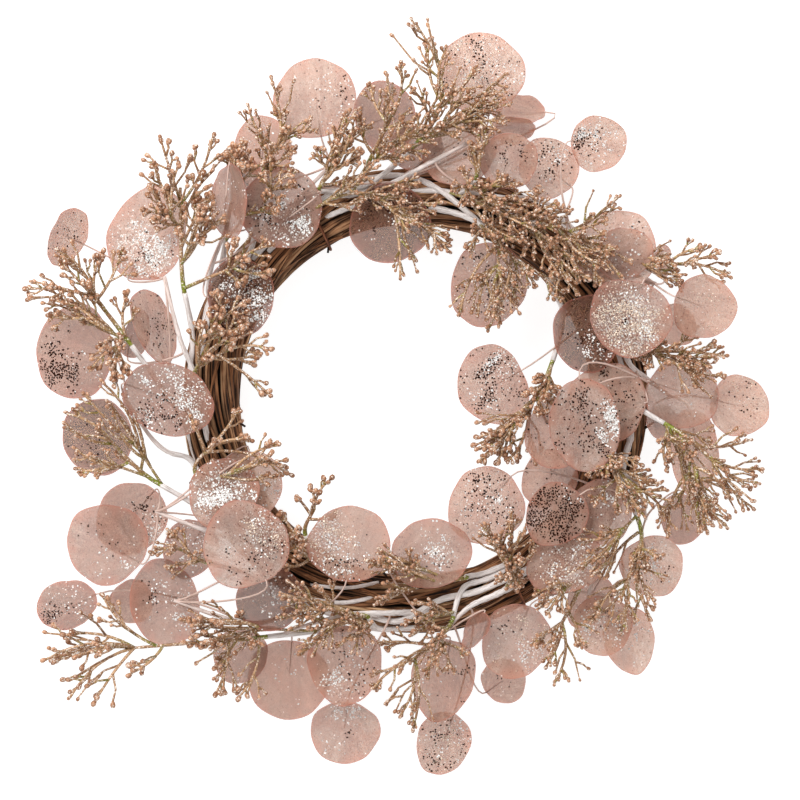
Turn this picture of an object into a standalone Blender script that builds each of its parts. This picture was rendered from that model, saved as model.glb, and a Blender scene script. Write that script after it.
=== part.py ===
"""Wreath of fabric leaves and glittered bud sprays on a ring of twisted vines.

It lies on its back: z = 0 is the surface under it, +Y is twelve o'clock, +X is its right.
Lengths are millimetres and angles degrees, measured from the middle of the vine ring, and
clock angles run counter-clockwise from +X. Every mesh is turned to metres when it is made.
"""
import itertools
import math

import bpy
import numpy as np
from mathutils.bvhtree import BVHTree

MM = 0.001
GAP = 0.3                        # left between pieces that touch
UP = np.array([0.0, 0.0, 1.0])
STEEP = 0.9                      # rise of a tube's start past which its sides start from +X

# Ring of vines
RING_CENTRE = np.array([13.2, -0.4, 0.0])   # from the middle of the whole wreath
RING_RADIUS = 166.0              # to the middle of the bundle of vines
VINE_RADIUS = 4.7
VINE_PLACES = 12                 # vines side by side round the outside of the bundle
VINE_SIDES = 5
VINE_STEPS = 24                  # lengths that one turn is made of
FIRST_CLOCK = 6.1                # clock angle of the first step, so that ties lie between steps
PLACE_RADIUS = (VINE_RADIUS + 0.6 * GAP) / math.sin(math.pi / VINE_PLACES)
BUNDLE_RADIUS = PLACE_RADIUS + VINE_RADIUS
VINE_ENDS = (0.0, 2.8, 6.1, 8.9, 12.0)      # in turns along the one long winding
END_GAP = 0.3                    # of a step, between one vine's end and the next
INNER_PLACES = 3
INNER_RADIUS = 6.3
INNER_PLACE_RADIUS = 7.45
INNER_SIDES = 3

# Ties of thinner vine round the bundle, flat below where the wreath rests
TIE_ANGLES = (28.6, 118.6, 208.6, 298.6)
TIE_THICKNESS = 3.2
TIE_WIDTH = 5.0
TIE_CORNERS = 12
TIE_INSIDE = BUNDLE_RADIUS + GAP            # from the bundle's middle to the tie's flats
RING_HEIGHT = TIE_INSIDE + TIE_THICKNESS    # of the bundle's middle over the surface

# Leaves and their stalks
BLADE_THICKNESS = 0.7
BLADE_CORNERS = 10
SMALL_BLADE = 45.0               # a leaf shorter than this has fewer corners
SMALL_CORNERS = 8
CUP = 3.5                        # how far the middle of a leaf lies below its edge
EDGE_RISE = 0.25 * CUP           # of the edge over the leaf's own place
WAVE = 1.6
EGG = 0.05                       # how much wider a leaf is by its stalk, as a share
BLADE_ROOM = 1.0                 # kept free round a blade
STALK_RADIUS = 1.0
STALK_POINTS = 4
LAYER_HEIGHTS = (20, 34, 48, 62, 78, 92)    # lowest middle of a leaf, back layer first
LIFT_STEP = 2.0
HIGHEST = 130.0
LOWEST = 3.0                     # any leaf or bud over the surface
SLEEVE = 9.0                     # round the bundle, kept free of leaves for the stems

STALK_BOWS = (0, 10, -10, 20, -20, 32, -32)
STALK_SEATS = (1.0, 0.85, 0.7, 0.55, 0.4)
STALK_REACHES = (0.4, 0.7)
STALK_SWEEP = 0.6                # how far a stalk follows its stem, as a share of its reach

# Stems and bud twigs
STEM_RADIUS = 2.5
STEM_TAPER = 0.7                 # tip's share of the radius
STEM_POINTS = 8
SPRAY_STEM_RADIUS = 1.7
ROOT_RUN = 5.0                   # of the clock, that a root lies on the bundle
ROOT_LEAVE = 11.0                # of the clock, from the root to where the stem is off it
ROOT_RISE = 5.0                  # over the bundle there
LANE_LEAN = 1.2                  # degrees that a root lies outward for each mm its stem goes
LANE_LIMIT = 60
LANES = (0, 14, -14, 28, -28, 42, -42, 56, -56)
STEM_LIFTS = (0, 8, 16, -8, 24, -16, 32)
STEM_TURNS = (0, 4, -4, 8, 12, 16)
SEATS = np.arange(1.25, -4.5, -0.25)        # over the bundle's round outline, highest first
TWIG_RADIUS = 0.8
TWIG_SPACING = 2.6               # along the branch that the twigs grow from
TWIG_ROOM = 7.0                  # of a head's radius for each twig
TWIGS_TRIED = 24
BUD_RADIUS = 2.5
BUD_LENGTH = 6.6                 # of each of the two buds at a twig's end
NECK_RADIUS = 0.7                # of a twig beside its buds
BUD_PLACES = (2.05, 1.55, 1.0, 0.5)         # necks and buds back from the tip, in bud lengths
SHORTEST_TWIG = 2.6              # in bud lengths
BUD_BEND = 1.2
HEAD_FLATNESS = 0.6
GOLDEN_ANGLE = 137.508           # turn and rise from one twig's end to the next, which
GOLDEN_SHARE = 0.618034          # spread them evenly over a ball
TIP_SCATTER = 8.0
SPRAY_LEAD = 12.0                # of the clock, from a spray's root to its fork, and more
SPRAY_LEAD_PER_MM = 0.2          # for each mm that the fork is off the ring
CROWN_SHARE = 0.8                # of the way to a head's middle that its branch reaches
FALL = 0.13                      # of sprays for each mm past the ring's sides
FALL_START = 30.0
FORK_HEIGHT = 62.0               # of a spray's fork and the middle of its heads, over the ring
HEAD_HEIGHT = 78.0
BRANCH_BOWS = (0, 8, 16, 24, -8, -16)
CLEARANCE = 0.5                  # at least, between pieces that don't touch

# Leafy picks: clock angle of the root, the stem's middle and tip (x, y, height), and the
# leaves: x, y, length, width, direction of the stalk, pitch, roll, layer
PICKS = (
    (182, (-190, 45, 56), (-203, 100, 52), (
        (-283, 133, 50, 50, 335, 58, 0, 2),
        (-217, 133, 80, 64, 245, 8, -12, 3),
        (-212, 58, 64, 60, 290, 0, 60, 2),
        (-228, 53, 40, 36, 250, 0, 55, 1))),
    (204, (-205, -45, 56), (-234, 0, 50), (
        (-275, 39, 62, 78, 355, 10, 5, 3),
        (-200, 1, 76, 58, 160, -6, 8, 5),
        (-258, -30, 58, 63, 20, 12, -5, 1))),
    (228, (-165, -108, 60), (-210, -90, 52), (
        (-231, -96, 62, 56, 50, 8, -6, 1),
        (-249, -117, 66, 66, 330, -6, 6, 3),
        (-154, -75, 60, 56, 60, 12, 8, 4),
        (-134, -68, 58, 54, 90, 4, -10, 2),
        (-182, -120, 50, 44, 60, 10, 4, 1))),
    (250, (-122, -188, 50), (-195, -162, 50), (
        (-281, -166, 50, 52, 20, 5, 42, 3),
        (-231, -164, 40, 36, 0, 30, 0, 1),
        (-202, -164, 56, 72, 15, 6, -8, 3),
        (-136, -117, 70, 71, 300, -5, -8, 5),
        (-117, -160, 52, 56, 90, 10, 6, 1))),
    (272, (-55, -172, 60), (-105, -188, 52), (
        (-103, -227, 66, 68, 85, -8, 5, 1),
        (-142, -207, 48, 44, 60, 12, -8, 1),
        (-57, -213, 66, 61, 95, 5, 6, 3),
        (-57, -269, 52, 57, 85, -10, -4, 2),
        (-53, -117, 62, 68, 265, 6, 4, 5))),
    (297, (38, -172, 60), (14, -196, 54), (
        (12, -124, 66, 57, 190, -5, 8, 5),
        (23, -225, 68, 54, 80, 6, 18, 3),
        (23, -278, 54, 44, 70, -12, 5, 2),
        (72, -229, 36, 38, 215, 10, 6, 1),
        (49, -186, 34, 34, 60, 0, 60, 1))),
    (330, (152, -125, 58), (140, -158, 52), (
        (82, -194, 62, 57, 70, -4, -10, 4),
        (122, -131, 65, 50, 20, 8, 6, 4),
        (152, -182, 50, 48, 90, 10, -5, 3),
        (174, -194, 56, 42, 100, -8, 8, 2),
        (142, -162, 48, 36, 60, 5, -6, 1))),
    (350, (180, -62, 58), (187, -97, 52), (
        (114, -92, 54, 50, 40, 10, -8, 5),
        (58, -85, 64, 62, 50, -5, 10, 4),
        (109, -63, 50, 44, 60, 8, 5, 1),
        (151, -89, 54, 50, 90, -8, 6, 2),
        (218, -96, 42, 38, 90, 10, -10, 1),
        (192, -134, 50, 52, 110, -6, 5, 3))),
    (20, (182, 22, 58), (208, 2, 54), (
        (136, -19, 76, 58, 97, -6, -10, 5),
        (117, -26, 60, 56, 60, 8, 8, 4),
        (156, -2, 64, 64, 0, 6, -5, 3),
        (215, 6, 60, 60, 160, -8, 6, 2),
        (262, -5, 50, 50, 165, -12, -5, 3),
        (227, -41, 72, 56, 95, 5, 48, 1),
        (201, -19, 32, 26, 120, 8, 0, 1))),
    (50, (152, 112, 60), (195, 94, 54), (
        (64, 12, 56, 68, 28, -6, 8, 3),
        (202, 112, 28, 26, 270, 0, 60, 1),
        (173, 67, 62, 68, 70, 5, -6, 6),
        (232, 75, 52, 52, 160, -10, 6, 5),
        (212, 61, 36, 34, 150, 8, 6, 1),
        (140, 55, 64, 58, 80, 6, 10, 3))),
    (76, (92, 165, 60), (124, 152, 54), (
        (59, 94, 70, 62, 70, 8, -8, 2),
        (148, 208, 46, 46, 175, -8, 8, 3),
        (109, 188, 50, 49, 320, 6, 5, 2),
        (162, 120, 66, 68, 230, -5, -6, 1),
        (168, 118, 48, 42, 200, 8, 6, 2))),
    (106, (0, 185, 60), (44, 208, 54), (
        (54, 264, 68, 70, 280, -10, 5, 3),
        (85, 235, 44, 50, 0, 0, 60, 1),
        (79, 220, 36, 40, 180, 0, 58, 1),
        (75, 193, 50, 48, 250, 28, 5, 4),
        (35, 201, 62, 56, 200, 6, -8, 2),
        (2, 204, 44, 40, 0, -8, 6, 1))),
    (135, (-98, 160, 60), (-66, 192, 54), (
        (-20, 143, 66, 66, 60, 6, 8, 3),
        (-81, 243, 66, 68, 280, -10, -5, 3),
        (-24, 230, 66, 60, 200, 42, 0, 1),
        (-124, 206, 50, 48, 270, -8, 6, 1))),
    (165, (-170, 95, 58), (-153, 138, 56), (
        (-107, 155, 67, 66, 25, 5, -8, 4),
        (-149, 162, 60, 56, 90, 0, 58, 2),
        (-136, 166, 56, 40, 270, 0, 45, 1),
        (-142, 83, 54, 66, 180, -6, 8, 4))),
)

# Bud sprays: where the stem branches (x, y), heads of buds (x, y, radius) and the furthest tips
SPRAYS = (
    ((-239, 57), ((-267, 93, 34),), ((-314, 89), (-286, 112), (-251, 120))),
    ((-188, 98), ((-190, 190, 30), (-134, 112, 22)), ((-172, 151),)),
    ((-151, 150), ((-135, 203, 17),), ()),
    ((-122, 186), ((-101, 220, 24),), ((-134, 237), (-116, 259))),
    ((-77, 172), ((-65, 192, 22),), ()),
    ((-36, 195), ((-16, 235, 26),), ((-12, 271), (-36, 255))),
    ((8, 215), ((28, 250, 34),), ((-3, 306), (12, 290), (73, 263))),
    ((-36, 164), ((4, 142, 30),), ((-12, 99), (20, 122), (28, 130))),
    ((50, 182), ((53, 203, 18),), ()),
    ((60, 134), ((93, 101, 30),), ((36, 69), (59, 57), (97, 93))),
    ((101, 142), ((134, 134, 30),), ((164, 164),)),
    ((-178, 23), ((-146, 45, 26), (-154, 71, 20)), ((-116, 41), (-117, 4))),
    ((-178, -57), ((-162, -32, 28),), ((-143, -8), (-135, -32), (-100, -61))),
    ((-216, -62), ((-255, -24, 30),), ((-281, -11), (-273, -30), (-273, -55))),
    ((-89, -105), ((-79, -83, 19),), ((-67, -63), (-93, -79))),
    ((-172, -130), ((-194, -117, 18),), ()),
    ((-134, -193), ((-162, -194, 28), (-259, -203, 34)),
     ((-161, -237), (-143, -241), (-300, -211), (-284, -190), (-253, -158), (-279, -241),
      (-259, -245))),
    ((-41, -174), ((-85, -182, 30),), ()),
    ((28, -182), ((-12, -219, 30),), ((-2, -265), (-12, -254))),
    ((39, -144), ((-20, -154, 18),), ()),
    ((75, -150), ((85, -130, 20),), ()),
    ((132, -154), ((113, -190, 22),), ((112, -228),)),
    ((183, -107), ((166, -160, 27),), ((190, -176), (138, -178))),
    ((154, -45), ((168, -77, 27),), ()),
    ((210, -24), ((251, -57, 27), (223, -73, 28)),
     ((279, -55), (270, -32), (273, -87), (235, -105), (204, -109))),
    ((190, 40), ((223, 39, 24),), ((251, 36), (237, 27))),
    ((194, 112), ((223, 109, 24),), ((232, 123), (254, 99))),
    ((108, 23), ((85, -20, 30),), ((50, -39), (75, -49))),
)


# Small geometry helpers

def unit(vector):
    """Return the vector at length one."""
    return vector / np.linalg.norm(vector)


def heading(degrees):
    """Return the level direction at a clock angle."""
    angle = math.radians(degrees)
    return np.array([math.cos(angle), math.sin(angle), 0.0])


def smooth(points, count):
    """Read count points from a Catmull-Rom curve through the given points."""
    points = [np.asarray(point, float) for point in points]
    ends = [2 * points[0] - points[1]] + points + [2 * points[-1] - points[-2]]
    spans = len(points) - 1
    curve = []
    for place in np.linspace(0, spans, count):
        span = min(int(place), spans - 1)
        t = place - span
        a, b, c, d = ends[span:span + 4]
        curve.append(0.5 * (2 * b + (c - a) * t + (2 * a - 5 * b + 4 * c - d) * t ** 2
                            + (3 * b - a - 3 * c + d) * t ** 3))
    return np.array(curve)


def bezier(a, b, c, d, count):
    """Read count points from a cubic Bezier curve."""
    t = np.linspace(0, 1, count)[:, None]
    return (1 - t) ** 3 * a + 3 * (1 - t) ** 2 * t * b + 3 * (1 - t) * t ** 2 * c + t ** 3 * d


def tube(path, radii, sides):
    """Return the corner rings of a tube, turned as little as possible along its path."""
    tangents = np.gradient(path, axis=0)
    steep = abs(unit(tangents[0])[2]) > STEEP
    side = np.cross(tangents[0], [1.0, 0.0, 0.0] if steep else UP)
    angles = np.arange(sides) * 2 * math.pi / sides
    rings = []
    for point, tangent, radius in zip(path, tangents, np.broadcast_to(radii, len(path))):
        tangent = unit(tangent)
        side = unit(side - tangent * np.dot(side, tangent))
        other = np.cross(tangent, side)
        rings.append(point + radius * (np.outer(np.cos(angles), side)
                                       + np.outer(np.sin(angles), other)))
    return np.array(rings)


def skin(rings, closed=False, tip=None):
    """Join rings of corners into a closed body: a loop, or one with flat or pointed ends."""
    count, sides = rings.shape[:2]
    corners = rings.reshape(-1, 3)
    faces = []
    for ring in range(count if closed else count - 1):
        here = ring * sides
        there = (ring + 1) % count * sides
        for side in range(sides):
            after = (side + 1) % sides
            faces.append((here + side, here + after, there + after))
            faces.append((here + side, there + after, there + side))
    last = (count - 1) * sides
    if not closed:
        faces.append(tuple(range(sides - 1, -1, -1)))
        if tip is None:
            faces.append(tuple(range(last, last + sides)))
    if tip is not None:
        corners = np.vstack([corners, tip])
        faces += [(last + side, last + (side + 1) % sides, count * sides) for side in range(sides)]
    return corners, faces


# Clearance between pieces

def tree(shape):
    """Return a search tree of a shape's faces."""
    corners, faces = shape
    return BVHTree.FromPolygons([tuple(corner) for corner in corners], faces)


def clear(shape, placed, owners=()):
    """Say whether a shape crosses nothing placed, apart from what the owners hold."""
    trial = tree(shape)
    return not any(trial.overlap(other) for owner, other in placed if owner not in owners)


def first_clear(options, placed, owners=()):
    """Return the first option whose roomier form, its first item, is clear."""
    for option in options:
        if clear(option[0], placed, owners):
            return option
    return None


# Ring of vines and its ties

def bundle_point(clock, lane, radius):
    """Return the point at a lane angle round the bundle's middle: 0 outside, 90 on top.

    The ring has straight lengths, so it is nearer to its centre between two steps.
    """
    half = 180.0 / VINE_STEPS
    off_middle = (clock - FIRST_CLOCK) % (2 * half) - half
    nearer = math.cos(math.radians(half)) / math.cos(math.radians(off_middle))
    reach = (RING_RADIUS + radius * math.cos(math.radians(lane))) * nearer
    height = RING_HEIGHT + radius * math.sin(math.radians(lane))
    return heading(clock) * reach + UP * height


def vine_section(step, places, place_radius, radius, sides):
    """Return a winding vine's corners at a step, which may lie between two whole steps."""
    whole = math.floor(step)
    rings = []
    for at in (whole, whole + 1):
        turned = 360.0 * at / VINE_STEPS
        clock = FIRST_CLOCK + turned
        lane = turned * (1 + 1 / places)
        middle = bundle_point(clock, lane, place_radius)
        turns = np.radians(lane + np.arange(sides) * 360.0 / sides)
        outward = heading(clock)
        rings.append(middle + radius * (np.outer(np.cos(turns), outward)
                                        + np.outer(np.sin(turns), UP)))
    share = step - whole
    return (1 - share) * rings[0] + share * rings[1]


def vine(first_turn, last_turn, places, place_radius, radius, sides):
    """Wind one vine round the ring: each turn ends in the next place of the bundle."""
    first = first_turn * VINE_STEPS + END_GAP / 2
    last = last_turn * VINE_STEPS - END_GAP / 2
    inside = range(math.ceil(first), math.floor(last) + 1)
    steps = [first, *inside, last]
    rings = [vine_section(step, places, place_radius, radius, sides) for step in steps]
    return skin(np.array(rings)[:, ::-1])


def tie(clock):
    """Close one tie round the bundle, with straight lengths between its corners."""
    along = heading(clock + 90) * TIE_WIDTH / 2
    stretch = 1 / math.cos(math.pi / TIE_CORNERS)
    rings = []
    for corner in range(TIE_CORNERS):
        lane = (corner + 0.5) * 360.0 / TIE_CORNERS
        inner = bundle_point(clock, lane, TIE_INSIDE * stretch)
        outer = bundle_point(clock, lane, RING_HEIGHT * stretch)
        rings.append([inner + along, inner - along, outer - along, outer + along])
    return skin(np.array(rings), closed=True)


def sleeve():
    """Return the room round the bundle that leaves stay out of."""
    rings = []
    for step in range(VINE_STEPS):
        clock = FIRST_CLOCK + 360.0 * step / VINE_STEPS
        rings.append([bundle_point(clock, lane, BUNDLE_RADIUS + SLEEVE)
                      for lane in range(330, -30, -24)])
    return skin(np.array(rings), closed=True)


# Leaves

def leaf_axes(leaf):
    """Return a leaf's directions: along to its tip, across to the left, and off its face."""
    _, _, _, _, stalk, pitch, roll, _ = leaf
    along = heading(stalk + 180)
    across = np.cross(UP, along)
    lift = math.radians(pitch)
    lean = math.radians(roll)
    along = along * math.cos(lift) + UP * math.sin(lift)
    face = np.cross(along, across)
    across, face = (across * math.cos(lean) + face * math.sin(lean),
                    face * math.cos(lean) - across * math.sin(lean))
    return along, across, face


def rim_angles(leaf):
    """Return the angles of a blade's corners from its tip, the first and last by the stalk."""
    count = BLADE_CORNERS if leaf[2] > SMALL_BLADE else SMALL_CORNERS
    notch = math.asin(2 * STALK_RADIUS / leaf[3])
    return math.pi + np.linspace(notch, 2 * math.pi - notch, count)


def blade(leaf, height, spare=0.0):
    """Cup and wave a round blade: its edge is an egg, its middle a point lower down.

    Its upper and lower faces are fans of like triangles. The upper corners come first.
    """
    x, y, length, width, _, _, _, _ = leaf
    along, across, face = leaf_axes(leaf)
    angles = rim_angles(leaf)
    rim_height = EDGE_RISE + WAVE * np.cos(2 * angles + x)
    rim = (np.outer((length / 2 + spare) * (np.cos(angles) + EGG * np.cos(2 * angles)), along)
           + np.outer((width / 2 + spare) * np.sin(angles), across)
           + np.outer(rim_height, face))
    middle = (EDGE_RISE - CUP) * face
    half = (BLADE_THICKNESS / 2 + spare) * face
    place = np.array([x, y, height])
    corners = np.vstack([middle + half, rim + half, middle - half, rim - half]) + place
    count = len(angles)
    below = count + 1
    faces = []
    for corner in range(count):
        here = 1 + corner
        there = 1 + (corner + 1) % count
        faces.append((0, here, there))
        faces.append((below, below + there, below + here))
        faces.append((here, below + here, below + there, there))
    return corners, faces


def stalked_leaf(leaf, height, path):
    """Grow the stalk out of the blade's edge, from the side between its last and first corner."""
    corners, faces = blade(leaf, height)
    count = len(rim_angles(leaf))
    below = count + 1
    foot = [count, below + count, below + 1, 1]
    faces = [face for face in faces if set(face) != set(foot)]
    rings = tube(path[1:], STALK_RADIUS, 4)
    first = corners[foot]
    turns = [np.roll(rings, turn, axis=1) for turn in range(4)]
    rings = min(turns, key=lambda ring: np.abs(ring[0] - first).sum())
    grown, stalk_faces = skin(np.concatenate([first[None], rings]))
    start = len(corners)
    index = foot + list(range(start, start + 4 * len(rings)))
    faces += [tuple(index[corner] for corner in face) for face in stalk_faces
              if set(face) != {0, 1, 2, 3}]
    return np.vstack([corners, grown[4:]]), faces


def settle_leaf(leaf, placed):
    """Lift a leaf from its layer's height until it is clear, and return its height."""
    for height in np.arange(LAYER_HEIGHTS[leaf[7] - 1], HIGHEST, LIFT_STEP):
        roomier = blade(leaf, height, spare=BLADE_ROOM)
        if roomier[0][:, 2].min() > LOWEST and clear(roomier, placed):
            return height
    raise ValueError(f"no room for the leaf at {leaf[:2]}")


def leaf_foot(leaf, height):
    """Return the middle of the edge that the stalk grows from, and its direction."""
    corners, _ = blade(leaf, height)
    count = len(rim_angles(leaf))
    along, _, _ = leaf_axes(leaf)
    return corners[[1, count, count + 2, 2 * count + 1]].mean(axis=0), -along


def stalk_options(leaf, height, stem):
    """Offer bent stalks from a leaf to places along its stem, the plainest first."""
    foot, outward = leaf_foot(leaf, height)
    last = len(stem) - 1
    for bow, share, reach in itertools.product(STALK_BOWS, STALK_SEATS, STALK_REACHES):
        seat = int(round(share * last))
        span = np.linalg.norm(stem[seat] - foot) * reach
        leave = foot + outward * span + UP * bow
        arrive = stem[seat] - unit(stem[seat] - stem[seat - 1]) * span * STALK_SWEEP + UP * bow
        path = bezier(foot, leave, arrive, stem[seat], STALK_POINTS)
        if path[:, 2].min() > LOWEST + STALK_RADIUS:
            yield skin(tube(path, STALK_RADIUS + CLEARANCE, 4)), path


# Stems

def stem_path(root_clock, lane, seat, middle, tip):
    """Run a stem from its seat on the bundle, up off it, and on through its middle."""
    root = bundle_point(root_clock, lane, seat)
    ahead = bundle_point(root_clock - ROOT_RUN, lane, seat)
    away = bundle_point(root_clock - ROOT_LEAVE, lane, seat + ROOT_RISE)
    return smooth([root, ahead, away, middle, tip], STEM_POINTS)


def place_stem(root_clock, middle, tip, radius, sides, placed, owner):
    """Find a stem that is clear, seat it as low as it goes, and return it with its path."""
    middle = np.array(middle, float)
    tip = np.array(tip, float)
    taper = np.linspace(radius, radius * STEM_TAPER, STEM_POINTS)
    outward = LANE_LEAN * (math.hypot(*middle[:2]) - RING_RADIUS)
    best_lane = 90 - max(-LANE_LIMIT, min(LANE_LIMIT, outward))
    for lift, turn, shift in itertools.product(STEM_LIFTS, STEM_TURNS, LANES):
        raised = UP * lift
        found = None
        for sink in SEATS:
            seat = BUNDLE_RADIUS + radius + GAP + sink
            path = stem_path(root_clock + turn, best_lane + shift, seat,
                             middle + raised, tip + raised)
            trial = skin(tube(path, taper + GAP, sides))
            if not clear(trial, placed, (owner, "room for stems")):
                break
            found = path
        if found is not None:
            return found, skin(tube(found, taper, sides))
    raise ValueError(f"no room for the stem at {middle}")


# Bud sprays

def spray_height(x, y, base):
    """Return a height that falls away outside and inside the ring."""
    off_ring = abs(math.hypot(x, y) - RING_RADIUS)
    return base - FALL * max(0.0, off_ring - FALL_START)


def point_along(path, share):
    """Return the point at a share of a path's length."""
    lengths = np.concatenate([[0], np.cumsum(np.linalg.norm(np.diff(path, axis=0), axis=1))])
    return np.array([np.interp(share * lengths[-1], lengths, path[:, axis]) for axis in range(3)])


def twig(start, end, bud_radius, bend, spare=0.0):
    """Return a twig with two round buds in a row at its end, the first a little to one side."""
    reach = np.linalg.norm(end - start)
    along = (end - start) / reach
    back = [reach, *(BUD_LENGTH * place for place in BUD_PLACES)]
    path = end - np.outer(back, along)
    path[1] += bend
    path[2] += bend
    radii = np.array([TWIG_RADIUS, NECK_RADIUS, bud_radius, NECK_RADIUS, bud_radius]) + spare
    return skin(tube(path, radii, 3), tip=end + along * spare)


def twig_ends(head, tips, rng):
    """Spread points evenly over a flattened ball round a head, the furthest tips first."""
    x, y, radius = head
    middle = np.array([x, y, spray_height(x, y, HEAD_HEIGHT)])
    ends = [np.array([tx, ty, middle[2] + rng.uniform(-1, 1) * TIP_SCATTER]) for tx, ty in tips]
    turn = rng.uniform(0, 360)
    for index in range(TWIGS_TRIED):
        rise = 1 - 2 * (index * GOLDEN_SHARE % 1)
        level = math.sqrt(1 - rise ** 2)
        direction = heading(turn + index * GOLDEN_ANGLE) * level + UP * rise * HEAD_FLATNESS
        ends.append(middle + direction * radius * rng.uniform(0.85, 1.1))
    return ends


def nearest_head(point, heads):
    """Return the index of the head nearest to a point."""
    return min(range(len(heads)), key=lambda i: math.dist(point, heads[i][:2]))


def fork_stem(start, head, placed, owner):
    """Return the path of a side branch to another head, bowed until it is clear."""
    middle = np.array([head[0], head[1], spray_height(head[0], head[1], HEAD_HEIGHT)])
    end = start + (middle - start) * CROWN_SHARE
    for bow in BRANCH_BOWS:
        path = smooth([start, (start + end) / 2 + UP * bow, end], 5)
        if clear(skin(tube(path, SPRAY_STEM_RADIUS + GAP, 3)), placed, (owner, "room for stems")):
            return path
    raise ValueError(f"no room for the branch to {head}")


def grow_twigs(branch, head, tips, rng, placed, owner):
    """Grow a head's twigs from evenly spaced places on its branch, those that are clear."""
    length = np.linalg.norm(np.diff(branch, axis=0), axis=1).sum()
    seats = list(np.arange(0.1, 1.0, TWIG_SPACING / length))
    wanted = max(round(head[2] / TWIG_ROOM), len(tips) + 2)
    grown = []
    for end in twig_ends(head, tips, rng):
        bud = BUD_RADIUS * rng.uniform(0.9, 1.1)
        bend = rng.uniform(-BUD_BEND, BUD_BEND, 3)
        if len(grown) == wanted or not seats:
            break
        ahead = np.dot(end - branch[0], unit(branch[-1] - branch[0])) / length
        seat = min(seats, key=lambda share: abs(share - (ahead - 0.3)))
        start = point_along(branch, seat)
        short = np.linalg.norm(end - start) < SHORTEST_TWIG * BUD_LENGTH
        if short or end[2] < LOWEST + 2 * bud:
            continue
        roomier = twig(start, end, bud, bend, spare=CLEARANCE)
        if clear(roomier, placed, (owner, "room for stems")):
            seats.remove(seat)
            grown.append(twig(start, end, bud, bend))
    return grown


def place_spray(number, spray, placed, owner):
    """Return a spray's stem, its side branches and the twigs of its heads."""
    node, heads, tips = spray
    rng = np.random.default_rng(100 + number)
    off_ring = abs(math.hypot(*node) - RING_RADIUS)
    fork_clock = math.degrees(math.atan2(node[1], node[0]))
    root_clock = fork_clock + SPRAY_LEAD + SPRAY_LEAD_PER_MM * off_ring
    fork = np.array([*node, spray_height(*node, FORK_HEIGHT)])
    crown = np.array([*heads[0][:2], spray_height(*heads[0][:2], HEAD_HEIGHT)])
    crown = fork + (crown - fork) * CROWN_SHARE
    path, stem = place_stem(root_clock, fork, crown, SPRAY_STEM_RADIUS, 3, placed, owner)
    shapes = [stem]
    branches = [path[-3:]]
    for head in heads[1:]:
        side = fork_stem(path[-3], head, placed, owner)
        shapes.append(skin(tube(side, SPRAY_STEM_RADIUS * 0.7, 3)))
        branches.append(side[2:])
    for index, head in enumerate(heads):
        own_tips = [point for point in tips if nearest_head(point, heads) == index]
        shapes += grow_twigs(branches[index], head, own_tips, rng, placed, owner)
    placed += [(owner, tree(shape)) for shape in shapes]
    return shapes


# Materials and objects

def linear(value):
    """Turn one sRGB channel, 0 to 1, into linear light."""
    return value / 12.92 if value <= 0.04045 else ((value + 0.055) / 1.055) ** 2.4


def material(name, colour, roughness, metallic=0.0):
    """Make a Principled material from an sRGB hex colour."""
    made = bpy.data.materials.new(name)
    made.use_nodes = True
    shader = made.node_tree.nodes["Principled BSDF"]
    channels = [linear(int(colour[place:place + 2], 16) / 255) for place in (0, 2, 4)]
    shader.inputs["Base Color"].default_value = (*channels, 1.0)
    shader.inputs["Roughness"].default_value = roughness
    shader.inputs["Metallic"].default_value = metallic
    return made


def mesh_object(name, shape, finish):
    """Put one shape into the scene, in metres, moved to its place in the wreath."""
    corners, faces = shape
    mesh = bpy.data.meshes.new(name)
    mesh.from_pydata(((corners + RING_CENTRE) * MM).tolist(), [], faces)
    mesh.materials.append(finish)
    made = bpy.data.objects.new(name, mesh)
    bpy.context.scene.collection.objects.link(made)
    return made


def fused_object(name, shapes, finish):
    """Join overlapping shapes into one body by a Boolean union on a collection."""
    base = mesh_object(name, shapes[0], finish)
    rest = bpy.data.collections.new(name + "_parts")
    bpy.context.scene.collection.children.link(rest)
    for number, shape in enumerate(shapes[1:]):
        part = mesh_object(f"{name}_part_{number}", shape, finish)
        bpy.context.scene.collection.objects.unlink(part)
        rest.objects.link(part)
    union = base.modifiers.new("fuse", "BOOLEAN")
    union.operation = "UNION"
    union.solver = "MANIFOLD"
    union.operand_type = "COLLECTION"
    union.collection = rest
    graph = bpy.context.evaluated_depsgraph_get()
    joined = bpy.data.meshes.new_from_object(base.evaluated_get(graph))
    base.modifiers.clear()
    base.data = joined
    for part in list(rest.objects):
        bpy.data.objects.remove(part)
    bpy.data.collections.remove(rest)
    return base


# The wreath, put together from the ring outwards

def build_ring(placed):
    """Wind the vines and close the ties round them."""
    bark = material("vine_bark", "4A3222", 0.85)
    thin_bark = material("tie_bark", "7A4A34", 0.8)
    inner = vine(0, INNER_PLACES, INNER_PLACES, INNER_PLACE_RADIUS, INNER_RADIUS, INNER_SIDES)
    mesh_object("vine_inner", inner, bark)
    for number, turns in enumerate(zip(VINE_ENDS, VINE_ENDS[1:]), start=1):
        shape = vine(*turns, VINE_PLACES, PLACE_RADIUS, VINE_RADIUS, VINE_SIDES)
        mesh_object(f"vine_outer_{number}", shape, bark)
        placed.append(("ring", tree(shape)))
    for number, clock in enumerate(TIE_ANGLES, start=1):
        shape = tie(clock)
        mesh_object(f"vine_tie_{number}", shape, thin_bark)
        placed.append(("ring", tree(shape)))
    placed.append(("room for stems", tree(sleeve())))


def settle_leaves(placed):
    """Place every leaf, back layer first, and return the heights by pick and leaf."""
    order = sorted((leaf[7], pick, place) for pick, (_, _, _, leaves) in enumerate(PICKS)
                   for place, leaf in enumerate(leaves))
    heights = {}
    for _, pick, place in order:
        leaf = PICKS[pick][3][place]
        heights[pick, place] = settle_leaf(leaf, placed)
        placed.append(((pick, place), tree(blade(leaf, heights[pick, place]))))
    return heights


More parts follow.
